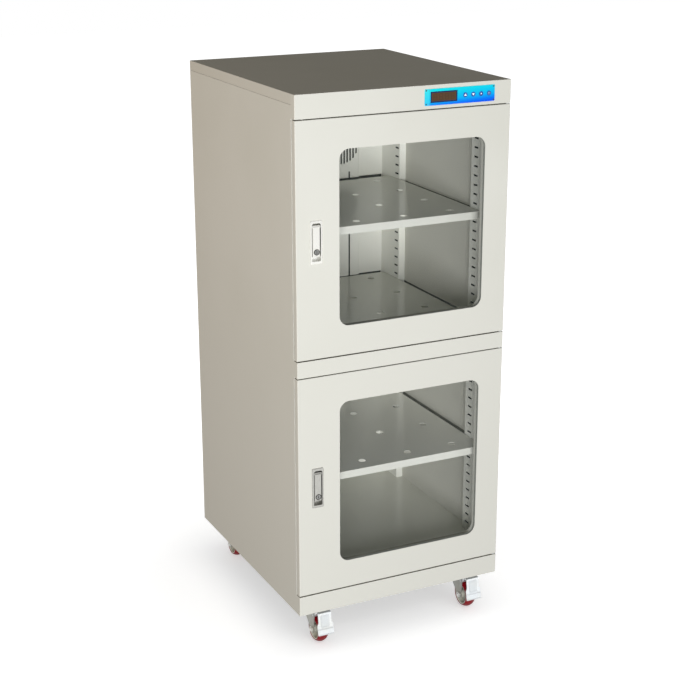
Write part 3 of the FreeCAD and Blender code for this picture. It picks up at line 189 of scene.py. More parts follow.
baking = {"speckScale": 160.0, "driftBand": (0.35, 0.75), "upwardBand": (0.7, 0.95), "peelStrength": 0.6,
          "dustAndPaintedLightLeast": 0.8, "dustAndPaintedLightDrift": 0.4, "mattLeast": 0.85, "mattSpeck": 0.3, "mattDust": 0.15}
# a coat's dusty tone on upward faces is part dust and part painted shade
cabinetCoat = {"light": rgb(213, 211, 201), "shade": rgb(209, 207, 196), "dusty": rgb(122, 118, 102),
               "dustAndPaintedLightShare": 0.8, "grain": 0.0013, "peel": 0.00004, "driftScale": 2.4, "roughness": 0.6,
               "specular": 0.2, "foot": rgb(207, 205, 195), "footReach": (0.2, 1.25)}
# The chamber and shelf coats are lighter copies of the cabinet paint, as painted light inside the glazed
# chamber
chamberCoat = {"light": rgb(237, 236, 228), "shade": rgb(233, 232, 222), "dusty": rgb(190, 190, 180),
               "dustAndPaintedLightShare": 0.5, "grain": 0.0013, "peel": 0.00003, "driftScale": 3.1, "roughness": 0.42,
               "specular": 0.3}
shelfCoat = {"light": rgb(225, 224, 215), "shade": rgb(220, 219, 209), "dusty": rgb(188, 188, 179),
             "dustAndPaintedLightShare": 0.6, "grain": 0.004, "peel": 0.00001, "driftScale": 3.7, "roughness": 0.14,
             "specular": 0.5}

# Painted shade: dark tones painted in the posts and behind them, in the duct, and beside and behind the edge
# of each shelf.
# Each is a box of low and high |x|, y and z, with its tone.
shade = {"postFace": 0.2794, "wall": 0.2995, "frontPost": 0.048, "rearPost": 0.11, "ductSkin": 0.00108,
         "beside": 0.007, "behind": 0.1, "depth": 0.02, "strip": 0.008, "edge": 0.0005, "reach": 0.2,
         "beyond": 1.0, "inPost": rgb(14, 14, 12), "atBack": rgb(46, 45, 41)}
besideShelf = {"top_shelf": rgb(80, 79, 73), "middle_shelf": rgb(80, 79, 73),
               "bottom_shelf": rgb(118, 117, 110)}
wall, edge, beyond = shade["wall"], shade["edge"], shade["beyond"]
low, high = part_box("slotted_uprights")
postFront = low[1]
inWall, inChamber = [], []
for front, rear in ((postFront, postFront + shade["frontPost"]), (high[1] - shade["rearPost"], high[1])):
    inWall.append(((shade["reach"], front, low[2]), (wall, rear, high[2]), shade["inPost"]))
    inChamber.append(((shade["postFace"], front + edge, low[2] + edge),
                      (wall, rear - edge, high[2] - edge), shade["inPost"]))
ductLow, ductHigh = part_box("air_duct_cover")
inChamber.append(((-beyond, ductLow[1] + shade["ductSkin"], ductLow[2] + edge),
                  (ductHigh[0] - edge, ductHigh[1] + edge, ductHigh[2] - edge), shade["atBack"]))
for shelf, onWall in besideShelf.items():
    low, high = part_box(shelf)
    inWall.append(((shade["reach"], postFront, high[2] - shade["depth"]),
                   (wall, high[1], high[2] - shade["beside"]), onWall))
    stripTop = high[2] - (ductLow[1] - high[1]) * shade["behind"]
    inChamber.append(((-beyond, high[1], stripTop - shade["strip"]), (high[0], beyond, stripTop),
                      shade["atBack"]))

# the top's upward faces take dust and painted shade, lighter than on the other tops, with little gloss
topCoat = dict(cabinetCoat, dusty=rgb(190, 186, 168), dustAndPaintedLightShare=0.4, roughness=0.9, specular=0.03)
wallCoat = dict(cabinetCoat, shaded=inWall)
chamberCoat["shaded"] = inChamber
chamberFloorCoat = dict(chamberCoat, roughness=0.18, specular=0.4)
# painted light: the lowest shelf's upward faces take a lighter tone
lowShelfCoat = dict(shelfCoat, dusty=rgb(244, 243, 235), dustAndPaintedLightShare=1.0)
cabinetPaint = powderCoat("cabinetPaint", cabinetCoat)
dress(cabinetPaint, "back_panel", "front_fascia", "middle_rail", "base_plinth", "upper_door_skin",
      "lower_door_skin", "upper_door_liner", "lower_door_liner")
dress(powderCoat("topPaint", topCoat), "top_cover")
dress(powderCoat("wallPaint", wallCoat), "left_side_panel", "right_side_panel")
dress(powderCoat("interiorPaint", chamberCoat), "inner_back_panel", "ceiling_panel", "slotted_uprights",
      "air_duct_cover")
dress(powderCoat("floorPaint", chamberFloorCoat), "floor_panel")
dress(powderCoat("shelfPaint", shelfCoat), "top_shelf", "middle_shelf")
dress(powderCoat("lowShelfPaint", lowShelfCoat), "bottom_shelf")
print("painted sheet metal done")


# Clear pane: see-through, with a mirror share that grows at low angles and a trace of wiping marks
def paneFinish(pane):
    material, start = newFinish("windowGlass")
    wiped = noise(start, objectSpot(start), pane["wipeScale"], 4.0, pane["wipeStretch"])
    grazing = start.add("LayerWeight", sockets={"Blend": 0.5}, output="Facing")
    mirror = pane["headOn"] + grazing ** pane["growth"] * (1 - pane["headOn"])
    clear = start.add("BsdfTransparent", sockets={"Color": (*pane["tint"], 1)})
    gloss = start.add("BsdfPrincipled", sockets={
        "Base Color": (*pane["edge"], 1), "Roughness": pane["roughness"],
        "Specular IOR Level": pane["specular"]})
    share = mirror * pane["mirror"] + wiped.rise(*pane["wipeBand"]) * pane["marks"]
    both = start.add("MixShader", sockets={0: share, 1: clear, 2: gloss})
    start.add("OutputMaterial", sockets={"Surface": both})
    return material


pane = {"tint": (0.957, 0.959, 0.956), "edge": rgb(150, 165, 158), "mirror": 0.5, "headOn": 0.04, "growth": 5,
        "roughness": 0.04, "specular": 0.5, "marks": 0.01, "wipeScale": 9.0, "wipeStretch": (1.0, 1.0, 3.0),
        "wipeBand": (0.45, 0.8)}
dress(paneFinish(pane), "upper_door_glass", "lower_door_glass")


# Rubber: matt and grey, with a fine skin and a patchy bloom
def rubberFinish(name, rubber):
    material, start = newFinish(name)
    spot = objectSpot(start)
    skin = noise(start, spot, rubberSkin["scale"], 3.0)
    bloom = noise(start, spot, rubberSkin["bloomScale"], 3.0)
    tone = blendColours(start, rubber["dark"], rubber["bloom"], bloom.rise(*rubberSkin["bloomBand"]))
    close(start, colour=tone, roughness=wander(rubberSkin["roughness"], skin, rubberSkin["spread"]),
          specular=rubberSkin["specular"],
          normal=bump(start, skin, rubberSkin["depth"], rubberSkin["strength"]))
    return material


rubberSkin = {"scale": 900.0, "bloomScale": 14.0, "bloomBand": (0.4, 0.8), "roughness": 0.62, "spread": 0.2,
              "specular": 0.3, "depth": 0.00005, "strength": 0.5}
sealRubber = {"dark": rgb(92, 92, 90), "bloom": rgb(108, 108, 105)}
gasketRubber = {"dark": rgb(136, 137, 130), "bloom": rgb(146, 147, 139)}
dress(rubberFinish("sealRubber", sealRubber), "upper_door_seal", "lower_door_seal")
dress(rubberFinish("gasketRubber", gasketRubber), "upper_glass_gasket", "lower_glass_gasket")


# Satin chrome: brushed along the lever, brighter and darker in fine upright lines
def chromeFinish(name, chrome):
    material, start = newFinish(name)
    spot = objectSpot(start)
    lines = noise(start, spot, 1.0, 3.0, brushing["stretch"])
    haze = noise(start, spot, brushing["hazeScale"], 3.0)
    tone = blendColours(start, chrome["dark"], chrome["light"], lines)
    roughness = wander(wander(chrome["roughness"], lines, brushing["spread"]), haze, brushing["spread"])
    close(start, colour=tone, metallic=1.0, roughness=roughness,
          normal=bump(start, lines, brushing["depth"], brushing["strength"]))
    return material


brushing = {"stretch": (2600.0, 2600.0, 60.0), "hazeScale": 40.0, "spread": 0.08, "depth": 0.00001,
            "strength": 0.4}
# Painted reflection: the upper lock takes a lighter copy of the chrome and the lower lock a darker one
paintedLightChrome = {"dark": rgb(204, 204, 199), "light": rgb(232, 231, 226), "roughness": 0.24}
paintedShadeChrome = {"dark": rgb(144, 144, 139), "light": rgb(182, 181, 176), "roughness": 0.3}
barrelChrome = {"dark": rgb(116, 117, 116), "light": rgb(150, 150, 148), "roughness": 0.34}
dress(chromeFinish("paintedLightChrome", paintedLightChrome), "upper_lock_case", "upper_lock_lever")
dress(chromeFinish("paintedShadeChrome", paintedShadeChrome), "lower_lock_case", "lower_lock_lever")
dress(chromeFinish("keyBarrel", barrelChrome), "upper_key_plug", "lower_key_plug")


# Bright zinc: small crystals of slightly different tone, a faint blue and straw cast, dulled in patches.
# A pedal's dish is painted darker as painted shade, and relief sharpens the edges of its dish, fold and lip.
def zincFinish(name, zinc):
    material, start = newFinish(name)
    spot = objectSpot(start)
    crystal = start.add("TexVoronoi", sockets={"Vector": spot, "Scale": zinc["crystals"]}, output="Color")
    each = start.add("SeparateColor", sockets={0: crystal})
    cast = noise(start, spot, plating["castScale"])
    tone = blendColours(start, zinc["cool"], zinc["straw"], cast.rise(*plating["castBand"]))
    tone = tone.into(zinc["dull"], each * plating["dullShare"])
    normal = bump(start, each, zinc["etch"], plating["etchStrength"])
    if "dish" in zinc:
        x, z = partsOf(start, spot, "XZ")
        relief, soft = zinc["dish"], zinc["dish"]["edge"]
        aside = abs(abs(x) - relief["middle"])
        dish = 1 - aside.rise(relief["half"] - soft, relief["half"] + soft)
        dish = dish * z.rise(relief["base"] - soft, relief["base"] + soft)
        dish = dish * (1 - z.rise(relief["top"] - soft, relief["top"] + soft))
        fold = 1 - abs(z - relief["fold"]).rise(0, soft)
        lip = 1 - abs(z - relief["lip"]).rise(0, soft)
        # painted shade: the dish takes the dull tone
        tone = tone.into(zinc["dull"], dish * relief["dulled"])
        normal = bump(start, fold + lip - dish, relief["depth"])
    roughness = wander(wander(zinc["roughness"], each, plating["crystalSpread"]), cast, plating["castSpread"])
    close(start, colour=tone, metallic=zinc["metal"] + each * plating["metalSpread"], roughness=roughness,
          normal=normal)
    return material


plating = {"castScale": 22.0, "castBand": (0.35, 0.7), "dullShare": 0.3, "etchStrength": 0.3,
           "crystalSpread": 0.06, "castSpread": 0.1, "metalSpread": 0.1}
brightZinc = {"cool": rgb(210, 214, 216), "straw": rgb(207, 208, 203), "dull": rgb(186, 189, 189),
              "crystals": 420.0, "roughness": 0.32, "metal": 0.4, "etch": 0.000004}
dullZinc = {"cool": rgb(176, 178, 174), "straw": rgb(170, 168, 156), "dull": rgb(148, 148, 142),
            "crystals": 300.0, "roughness": 0.36, "metal": 0.6, "etch": 0.000006}
pedalDish = {"middle": abs(middleOf("left_brake_pedal")[0]), "half": 0.012, "base": 0.061, "top": 0.092,
             "fold": 0.056, "lip": 0.041, "edge": 0.0022, "depth": 0.0016, "dulled": 0.55}
pedalZinc = dict(brightZinc, cool=rgb(232, 236, 238), straw=rgb(230, 231, 227), dull=rgb(196, 200, 201),
                 dish=pedalDish)
dress(zincFinish("brightZinc", brightZinc), "hinge_pins", "shelf_clips")
dress(zincFinish("pedalZinc", pedalZinc), "left_brake_pedal", "right_brake_pedal")
dress(zincFinish("dullZinc", dullZinc), "front_caster_plates", "left_caster_fork", "right_caster_fork",
      "rear_caster_brackets")


# Distance from the nearest axle, worked out by folding the front and rear axles onto each other
def fromAxle(y, z):
    front, rear = middleOf("left_caster_tyre"), middleOf("rear_left_tyre")
    half = (rear[1] - front[1]) / 2
    along = abs(y - (front[1] + half)) - half
    lift = z - front[2]
    return (along * along + lift * lift) ** 0.5


# Cast polyurethane: a parting line round the middle, scuffs and dust where it runs on the floor
def tyreFinish(tyre):
    material, start = newFinish("redPolyurethane")
    spot = objectSpot(start)
    x, y, z = partsOf(start, spot, "XYZ")
    tread = fromAxle(y, z).rise(*tyre["tread"])
    across = abs(x) - abs(middleOf("left_caster_tyre")[0])
    parting = 1 - abs(across).rise(*tyre["parting"])
    scuff = noise(start, spot, tyre["scuffScale"], 4.0).rise(*tyre["scuffBand"]) * tread
    tone = blendColours(start, tyre["red"], tyre["deep"], noise(start, spot, tyre["mottleScale"]))
    tone = tone.into(tyre["dusty"], scuff * tyre["scuffTone"])
    close(start, colour=tone, roughness=tyre["roughness"] + scuff * tyre["scuffMatt"],
          specular=tyre["specular"],
          normal=bump(start, parting + scuff * tyre["scuffRelief"], tyre["relief"], tyre["strength"]))
    return material


tyre = {"red": rgb(132, 6, 18), "deep": rgb(108, 4, 14), "dusty": rgb(120, 70, 68), "tread": (0.036, 0.0374),
        "parting": (0.0003, 0.0007), "scuffScale": 95.0, "scuffBand": (0.5, 0.75), "scuffTone": 0.35,
        "scuffMatt": 0.3, "scuffRelief": 0.3, "mottleScale": 30.0, "roughness": 0.4, "specular": 0.25,
        "relief": 0.0003, "strength": 0.6}
dress(tyreFinish(tyre), "left_caster_tyre", "right_caster_tyre", "rear_left_tyre", "rear_right_tyre")


# Moulded wheel centre: a steel bearing in the hub, turned rings on the web, a paler rim
def wheelFinish(wheel):
    material, start = newFinish("wheelCentre")
    spot = objectSpot(start)
    radius = fromAxle(*partsOf(start, spot, "YZ"))
    steel = 1 - radius.rise(*wheel["bearing"])
    rings = start.math("SINE", radius * wheel["ringWaves"])
    mottle = noise(start, spot, wheel["mottleScale"], 3.0)
    tone = blendColours(start, wheel["cream"], wheel["grey"], mottle)
    tone = tone.into(wheel["pale"], radius.rise(*wheel["rim"]))
    tone = tone.into(wheel["steel"], steel)
    roughness = wander(wheel["roughness"] - steel * wheel["steelGloss"], mottle, wheel["spread"])
    close(start, colour=tone, metallic=steel, roughness=roughness,
          normal=bump(start, rings, wheel["ringDepth"], wheel["ringStrength"]))
    return material


wheel = {"cream": rgb(178, 176, 162), "grey": rgb(164, 162, 150), "pale": rgb(214, 212, 198),
         "steel": rgb(190, 191, 192), "bearing": (0.0086, 0.009), "rim": (0.0262, 0.0268), "ringWaves": 5200.0,
         "ringDepth": 0.00006, "ringStrength": 0.3, "mottleScale": 60.0, "roughness": 0.45, "steelGloss": 0.15,
         "spread": 0.1}
dress(wheelFinish(wheel), "left_caster_wheel", "right_caster_wheel", "rear_left_wheel", "rear_right_wheel")
print("metal, rubber and wheels done")


# Printed film: cyan at the top to blue at the foot, a paler band with a fine line at the left end
def filmFinish(film):
    material, start = newFinish("panelFilm")
    spot = objectSpot(start)
    x, z = partsOf(start, spot, "XZ")
    low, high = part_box("control_overlay")
    across = (x - low[0]) / (high[0] - low[0])
    up = (z - low[2]) / (high[2] - low[2])
    level = up + (film["lean"] - across) * film["slant"]
    tone = start.add("ValToRGB", {"stops": film["stops"]}, {0: level})
    band = 1 - across.rise(*film["bandEdge"])
    tone = tone.into(film["band"], band * film["bandShare"])
    line = abs(across - film["linePlace"]) < film["lineHalf"]
    tone = tone.into(film["line"], line * film["lineShare"])
    weave = noise(start, spot, film["weaveScale"])
    close(start, colour=tone, roughness=wander(film["roughness"], weave, film["spread"]),
          specular=film["specular"], normal=bump(start, weave, film["weaveDepth"], film["weaveStrength"]))
    return material


film = {"stops": [(0.0, rgb(0, 88, 230)), (0.16, rgb(0, 122, 234)), (0.4, rgb(0, 172, 230)),
                  (1.0, rgb(14, 212, 222))], "lean": 0.6, "slant": 0.3, "band": rgb(70, 216, 226),
        "bandEdge": (0.05, 0.09), "bandShare": 0.55, "line": rgb(10, 140, 180), "linePlace": 0.062,
        "lineHalf": 0.0022, "lineShare": 0.5, "weaveScale": 700.0, "weaveDepth": 0.00002, "weaveStrength": 0.4,
        "roughness": 0.42, "spread": 0.1, "specular": 0.25}
dress(filmFinish(film), "control_overlay")


# Tinted window: a navy border, amber glass and unlit seven-bar figures that barely show
def displayFinish(display):
    material, start = newFinish("displayWindow")
    spot = objectSpot(start)
    x, z = partsOf(start, spot, "XZ")
    middle = middleOf("display_module")
    low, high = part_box("display_module")
    border, pitch = display["border"], display["pitch"]
    inX = abs(x - middle[0]) < (high[0] - low[0]) / 2 - border
    inZ = abs(z - middle[2]) < (high[2] - low[2]) / 2 - border
    cell = start.math("FRACT", (x - middle[0]) / pitch + display["cellShift"]) * pitch - pitch / 2
    side, rise = abs(cell), abs(z - middle[2])
    wide, tall, bar = display["figure"]
    flat = (side < wide) * ((rise < bar) | (abs(rise - tall) < bar))
    upright = (abs(side - wide) < bar) * (rise < tall)
    figures = (flat | upright) * (abs(x - middle[0]) < pitch * display["figures"] / 2)
    glow = noise(start, spot, display["glowScale"])
    amber = blendColours(start, display["amber"], display["brown"], glow)
    amber = amber.into(display["figureTone"], figures * display["figureShare"])
    tone = blendColours(start, display["navy"], amber, inX * inZ)
    close(start, colour=tone, roughness=wander(display["roughness"], glow, display["spread"]),
          specular=display["specular"], coat=display["coat"], coatRoughness=display["coatRoughness"])
    return material


display = {"border": 0.0032, "pitch": 0.0165, "figure": (0.0042, 0.0072, 0.0009), "figures": 4,
           "cellShift": 10.0, "navy": rgb(12, 40, 82), "amber": rgb(88, 54, 28), "brown": rgb(66, 52, 30),
           "figureTone": rgb(56, 38, 22), "figureShare": 0.5, "glowScale": 60.0, "roughness": 0.2,
           "spread": 0.06, "specular": 0.2, "coat": 0.12, "coatRoughness": 0.05}
dress(displayFinish(display), "display_module")


# Key caps: a dark blue disc with a pale rim and a plain white sign, whose sizes are in millimetres
def keyFinish(node, sign, strength):
    material, start = newFinish(node + "Cap")
    spot = objectSpot(start)
    x, z = partsOf(start, spot, "XZ")
    middle = middleOf(node)
    side, rise = (x - middle[0]) * 1000, (z - middle[2]) * 1000
    radius = (side * side + rise * rise) ** 0.5
    if sign == "dot":
        mark = 1 - radius.rise(*keys["dotEdge"])
    elif sign == "standby":
        opening = (abs(side) < keys["ringGap"]) * (rise > 0)
        ring = (abs(radius - keys["ring"]) < keys["stroke"]) * (1 - opening)
        barFoot, barTop = keys["bar"]
        mark = ring | (abs(side) < keys["stroke"]) * (rise > barFoot) * (rise < barTop)
    else:
        rise = rise if sign == "up" else -rise
        mark = (rise > keys["arrowFoot"]) * (abs(side) * keys["arrowSlope"] + rise < keys["arrowTip"])
    rim = radius.rise(*keys["rimEdge"])
    mottle = noise(start, spot, keys["mottleScale"])
    tone = blendColours(start, keys["blue"], keys["deep"], mottle)
    tone = tone.into(keys["rim"], rim * keys["rimShare"])
    tone = tone.into(keys["white"], mark * strength)
    close(start, colour=tone, roughness=wander(keys["roughness"], mottle, keys["spread"]),
          normal=bump(start, mottle, keys["relief"], keys["reliefStrength"]))
    return material


keys = {"blue": rgb(10, 66, 150), "deep": rgb(12, 56, 132), "rim": rgb(40, 150, 226),
        "white": rgb(240, 248, 250), "dotEdge": (1.7, 2.1), "ring": 2.6, "ringGap": 1.1, "stroke": 0.45,
        "bar": (0.2, 3.4), "arrowFoot": -2.3, "arrowSlope": 1.45, "arrowTip": 3.3, "rimEdge": (5.2, 5.6),
        "rimShare": 0.7, "mottleScale": 300.0, "roughness": 0.36, "spread": 0.1, "relief": 0.00002,
        "reliefStrength": 0.4}
signs = {"up_key": ("up", 1.0), "down_key": ("down", 1.0), "set_key": ("dot", 1.0),
         "power_key": ("standby", 0.55)}
for node, (sign, strength) in signs.items():
    dress(keyFinish(node, sign, strength), node)


# Moulded plastic: fine spark texture and a slow drift of tone
def mouldedFinish(name, plastic):
    material, start = newFinish(name)
    spot = objectSpot(start)
    spark = noise(start, spot, moulding["sparkScale"])
    drift = noise(start, spot, moulding["driftScale"], 3.0)
    tone = blendColours(start, plastic["light"], plastic["shade"], drift)
    close(start, colour=tone, roughness=wander(plastic["roughness"], spark, moulding["spread"]),
          normal=bump(start, spark, moulding["depth"], moulding["strength"]))
    return material


moulding = {"sparkScale": 1500.0, "driftScale": 12.0, "spread": 0.15, "depth": 0.00004, "strength": 0.5}
dryerPlastic = {"light": rgb(226, 226, 221), "shade": rgb(214, 214, 208), "roughness": 0.5}
inletPlastic = {"light": rgb(34, 34, 35), "shade": rgb(24, 24, 25), "roughness": 0.42}
dress(mouldedFinish("dryerPlastic", dryerPlastic), "dryer_housing", "inner_shutter", "outer_shutter",
      "humidity_sensor")
dress(mouldedFinish("inletPlastic", inletPlastic), "power_inlet")


# Desiccant: packed beads of two tones
def beadFinish(beads):
    material, start = newFinish("desiccantBeads")
    cells = {"Vector": objectSpot(start), "Scale": 1 / beads["size"]}
    bead = start.add("TexVoronoi", sockets=cells)
    each = start.add("SeparateColor", sockets={0: start.add("TexVoronoi", sockets=cells, output="Color")})
    tone = blendColours(start, beads["light"], beads["dark"], each)
    close(start, colour=tone, roughness=wander(beads["roughness"], each, beads["spread"]),
          normal=bump(start, 1 - bead, beads["relief"], beads["strength"]))
    return material


beads = {"size": 0.003, "light": rgb(214, 198, 166), "dark": rgb(176, 152, 112), "roughness": 0.75,
         "spread": 0.2, "relief": 0.0008, "strength": 0.6}
dress(beadFinish(beads), "desiccant_cartridge")


# Circuit board: green mask with copper runs under it, laid in the board's upright plane
def boardFinish(board):
    material, start = newFinish("circuitBoard")
    upright = start.add("Mapping", sockets={"Vector": objectSpot(start), "Rotation": (math.pi / 2, 0, 0)})
    runs = start.add("TexBrick", {"offset": 0.5}, {
        "Vector": upright, "Scale": board["runScale"], "Mortar Size": board["runWidth"]}, output=1)
    tone = blendColours(start, board["mask"], board["copper"], runs * board["runShare"])
    close(start, colour=tone, roughness=board["roughness"] + runs * board["runMatt"],
          normal=bump(start, runs, board["relief"], board["strength"]))
    return material


board = {"mask": rgb(16, 92, 52), "copper": rgb(40, 132, 76), "runScale": 120.0, "runWidth": 0.05,
         "runShare": 0.6, "runMatt": 0.1, "roughness": 0.35, "relief": 0.00005, "strength": 0.5}
dress(boardFinish(board), "control_board")
print("control panel and fittings done")

meshing = {"weld": 1e-7, "sliver": 1e-8, "roundPoints": 48}


# Joins grids of points, each (rows, columns, 3), into one mesh; columns close on themselves where asked
def gridMesh(name, grids, closed=True):
    corners, faces, count = [], [], 0
    for grid in grids:
        rows, columns = grid.shape[:2]
        index = np.arange(rows * columns).reshape(rows, columns) + count
        if closed:
            index = np.hstack([index, index[:, :1]])
        quads = np.stack([index[:-1, :-1], index[:-1, 1:], index[1:, 1:], index[1:, :-1]], -1)
        faces.append(quads.reshape(-1, 4))
        corners.append(grid.reshape(-1, 3))
        count += rows * columns
    mesh = bpy.data.meshes.new(name)
    mesh.from_pydata(np.vstack(corners).tolist(), [], np.vstack(faces).tolist())
    work = bmesh.new()
    work.from_mesh(mesh)
    bmesh.ops.remove_doubles(work, verts=work.verts, dist=meshing["weld"])
    bmesh.ops.dissolve_degenerate(work, edges=work.edges, dist=meshing["sliver"])
    bmesh.ops.recalc_face_normals(work, faces=work.faces)
    work.to_mesh(mesh)
    work.free()
    piece = bpy.data.objects.new(name, mesh)
    bpy.context.scene.collection.objects.link(piece)
    return piece


def addPiece(piece, material, body):
    piece.data.materials.append(material)
    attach(piece, body)


# Points from two lengths along a face and a height off it; axes are two directions of the face and the way out
def standOn(place, axes, flatX, flatY, height):
    across, up, out = [np.asarray(axis, float) for axis in axes]
    points = np.asarray(place, float) + flatX[..., None] * across + flatY[..., None] * up
    return points + height[..., None] * out


# Pan head: height falls as a circle's arc from the middle to the rim, less a cross that narrows as it deepens
def panHead(place, axes, size):
    share = np.array(panShape["rings"])[:, None]
    flatX, flatY = size["radius"] * share * np.cos(turn), size["radius"] * share * np.sin(turn)
    arc = np.sqrt(np.clip(1 - share ** 2, 0, 1))
    dome = size["height"] * (panShape["rim"] + panShape["crown"] * arc) + 0 * turn
    near = np.minimum(np.abs(flatX), np.abs(flatY))
    inArm = np.clip(1 - near / (size["radius"] * panShape["arm"]), 0, 1) * (share < panShape["armReach"])
    dome = dome - size["recess"] * np.minimum(inArm * panShape["armSlope"], 1)
    flat = 0 * turn
    top = standOn(place, axes, flatX, flatY, dome)
    foot = standOn(place, axes, flatX[-1:], flatY[-1:], flat)
    middle = standOn(place, axes, flat, flat, flat)
    return np.concatenate([top, foot, middle])


# Hexagon: its radius is the flat's distance over the cosine of the angle from the flat's middle.
# Rings of radius and height run from the seat up the flats, over the turned chamfer and up the bolt's end.
def hexHead(place, axes, size):
    sixth = np.pi / 3
    half, tall, tip, stub = size["flats"] / 2, size["height"], size.get("tip", 0), size.get("stub", 0)
    hexagon = half / np.cos((turn + sixth / 2) % sixth - sixth / 2)
    drop = (hexagon - half) * hexShape["chamfer"]
    rim = half * hexShape["rim"]
    neck, end = max(tip, rim * hexShape["neck"]), tall + stub * hexShape["end"]
    rings = [(0, 0), (hexagon, 0), (hexagon, tall - drop), (rim, tall), (neck, tall), (neck, tall + stub),
             (tip * hexShape["point"], end), (0, end)]
    radius, height = [np.vstack([level + 0 * turn for level in levels]) for levels in zip(*rings)]
    return standOn(place, axes, radius * np.cos(turn), radius * np.sin(turn), height)


turn = np.linspace(0, 2 * np.pi, meshing["roundPoints"], endpoint=False)[None, :]
panShape = {"rings": (0.0, 0.16, 0.3, 0.42, 0.52, 0.6, 0.72, 0.86, 0.95, 1.0), "rim": 0.55, "crown": 0.45,
            "arm": 0.2, "armReach": 0.58, "armSlope": 2}
hexShape = {"chamfer": 0.6, "rim": 0.93, "neck": 0.5, "point": 0.8, "end": 1.3}
fastenerSteel = {"cool": rgb(224, 227, 229), "straw": rgb(226, 224, 216), "dull": rgb(196, 198, 198),
                 "crystals": 900.0, "roughness": 0.28, "metal": 0.6, "etch": 0.000004}
blackedSteel = {"cool": rgb(70, 74, 80), "straw": rgb(74, 73, 70), "dull": rgb(52, 54, 56),
                "crystals": 900.0, "roughness": 0.4, "metal": 0.75, "etch": 0.000004}
steel = zincFinish("fastenerSteel", fastenerSteel)
blacked = zincFinish("blackedSteel", blackedSteel)
rightward, upward, backward = (1, 0, 0), (0, 0, 1), (0, 1, 0)
onFront, onBack = (rightward, upward, (0, -1, 0)), (rightward, upward, backward)
underneath = (rightward, backward, (0, 0, -1))

panelScrews = {"radius": 0.0019, "height": 0.0007, "recess": 0.0004, "inset": 0.0036}
low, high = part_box("control_overlay")
inset = panelScrews["inset"]
spots = [(x, low[1], z) for x in (low[0] + inset, high[0] - inset) for z in (low[2] + inset, high[2] - inset)]
addPiece(gridMesh("panel_screws", [panHead(s, onFront, panelScrews) for s in spots]), blacked, "cabinet")

backScrews = {"radius": 0.0042, "height": 0.0017, "recess": 0.0009, "inset": 0.011, "rows": 7, "across": 3}
low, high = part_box("back_panel")
inset = backScrews["inset"]
levels = np.linspace(low[2] + inset, high[2] - inset, backScrews["rows"])
columns = np.linspace(low[0] + inset, high[0] - inset, backScrews["across"] + 2)[1:-1]
spots = [(x, high[1], z) for x in (low[0] + inset, high[0] - inset) for z in levels]
spots += [(x, high[1], z) for x in columns for z in (levels[0], levels[-1])]
addPiece(gridMesh("back_screws", [panHead(s, onBack, backScrews) for s in spots]), steel, "cabinet")

inletScrews = {"radius": 0.0028, "height": 0.0008, "recess": 0.0005, "spread": 0.0205, "sunk": 0.0008}
rear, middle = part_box("power_inlet")[1][1], middleOf("power_inlet")
spots = [(middle[0] + side * inletScrews["spread"], rear - inletScrews["sunk"], middle[2]) for side in (-1, 1)]
addPiece(gridMesh("inlet_screws", [panHead(s, onBack, inletScrews) for s in spots]), steel, "cabinet")

plateBolts = {"flats": 0.011, "height": 0.0042, "across": 0.045, "along": 0.073, "trail": 0.03, "plate": 0.003}
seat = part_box("front_caster_plates")[1][2] - plateBolts["plate"]
spots = []
for node in ("left_caster_tyre", "right_caster_tyre", "rear_left_tyre", "rear_right_tyre"):
    centre = middleOf(node)
    trail = plateBolts["trail"] if node.endswith("caster_tyre") else 0.0
    spots += [(centre[0] + sideways * plateBolts["across"] / 2,
               centre[1] + trail + lengthways * plateBolts["along"] / 2, seat)
              for sideways in (-1, 1) for lengthways in (-1, 1)]
addPiece(gridMesh("plate_bolts", [hexHead(s, underneath, plateBolts) for s in spots]), steel, "cabinet")

axleNuts = {"flats": 0.0138, "height": 0.0042, "tip": 0.0038, "stub": 0.0016, "reach": 0.0201}
for body, node in (("left_swivel", "left_caster_tyre"), ("right_swivel", "right_caster_tyre"),
                   ("cabinet", "rear_left_tyre"), ("cabinet", "rear_right_tyre")):
    centre = middleOf(node)
    ends = [hexHead((centre[0] + side * axleNuts["reach"], centre[1], centre[2]),
                    (backward, upward, (side, 0, 0)), axleNuts) for side in (-1, 1)]
    addPiece(gridMesh(node.replace("tyre", "axle_nuts"), ends), steel, body)
print("fasteners done")


# Pressed louvre: a quarter ellipse from the slot's upper edge out and down, closing towards both ends
def louvreHood(place, hood):
    along = np.linspace(-1, 1, hood["pointsAlong"])[:, None]
    swing = np.linspace(0, np.pi / 2, hood["pointsDown"])[None, :]
    fade = np.sqrt(np.clip(1 - np.abs(along) ** hood["endPower"], 0, 1))
    fall = hood["endDrop"] + (1 - hood["endDrop"]) * fade
    x = place[0] + along * hood["width"] / 2 + 0 * swing
    y = place[1] + hood["depth"] * fade * np.sin(swing)
    z = place[2] + hood["rise"] - hood["drop"] * (1 - np.cos(swing)) * fall
    return np.stack([x, y, z], -1)


hoods = {"width": 0.136, "depth": 0.0019, "rise": 0.0052, "drop": 0.0052, "offset": 0.085, "base": 1.136,
         "pitch": 0.011, "count": 9, "sheet": 0.0005, "endPower": 10, "endDrop": 0.25, "pointsAlong": 41,
         "pointsDown": 9}
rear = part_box("back_panel")[1][1]
spots = [(side * hoods["offset"], rear, hoods["base"] + step * hoods["pitch"])
         for side in (-1, 1) for step in range(hoods["count"])]
louvres = gridMesh("louvre_hoods", [louvreHood(s, hoods) for s in spots], closed=False)
addPiece(louvres, cabinetPaint, "cabinet")
shell = louvres.modifiers.new("sheet", "SOLIDIFY")
shell.thickness, shell.offset = hoods["sheet"], -1
print("louvres done")

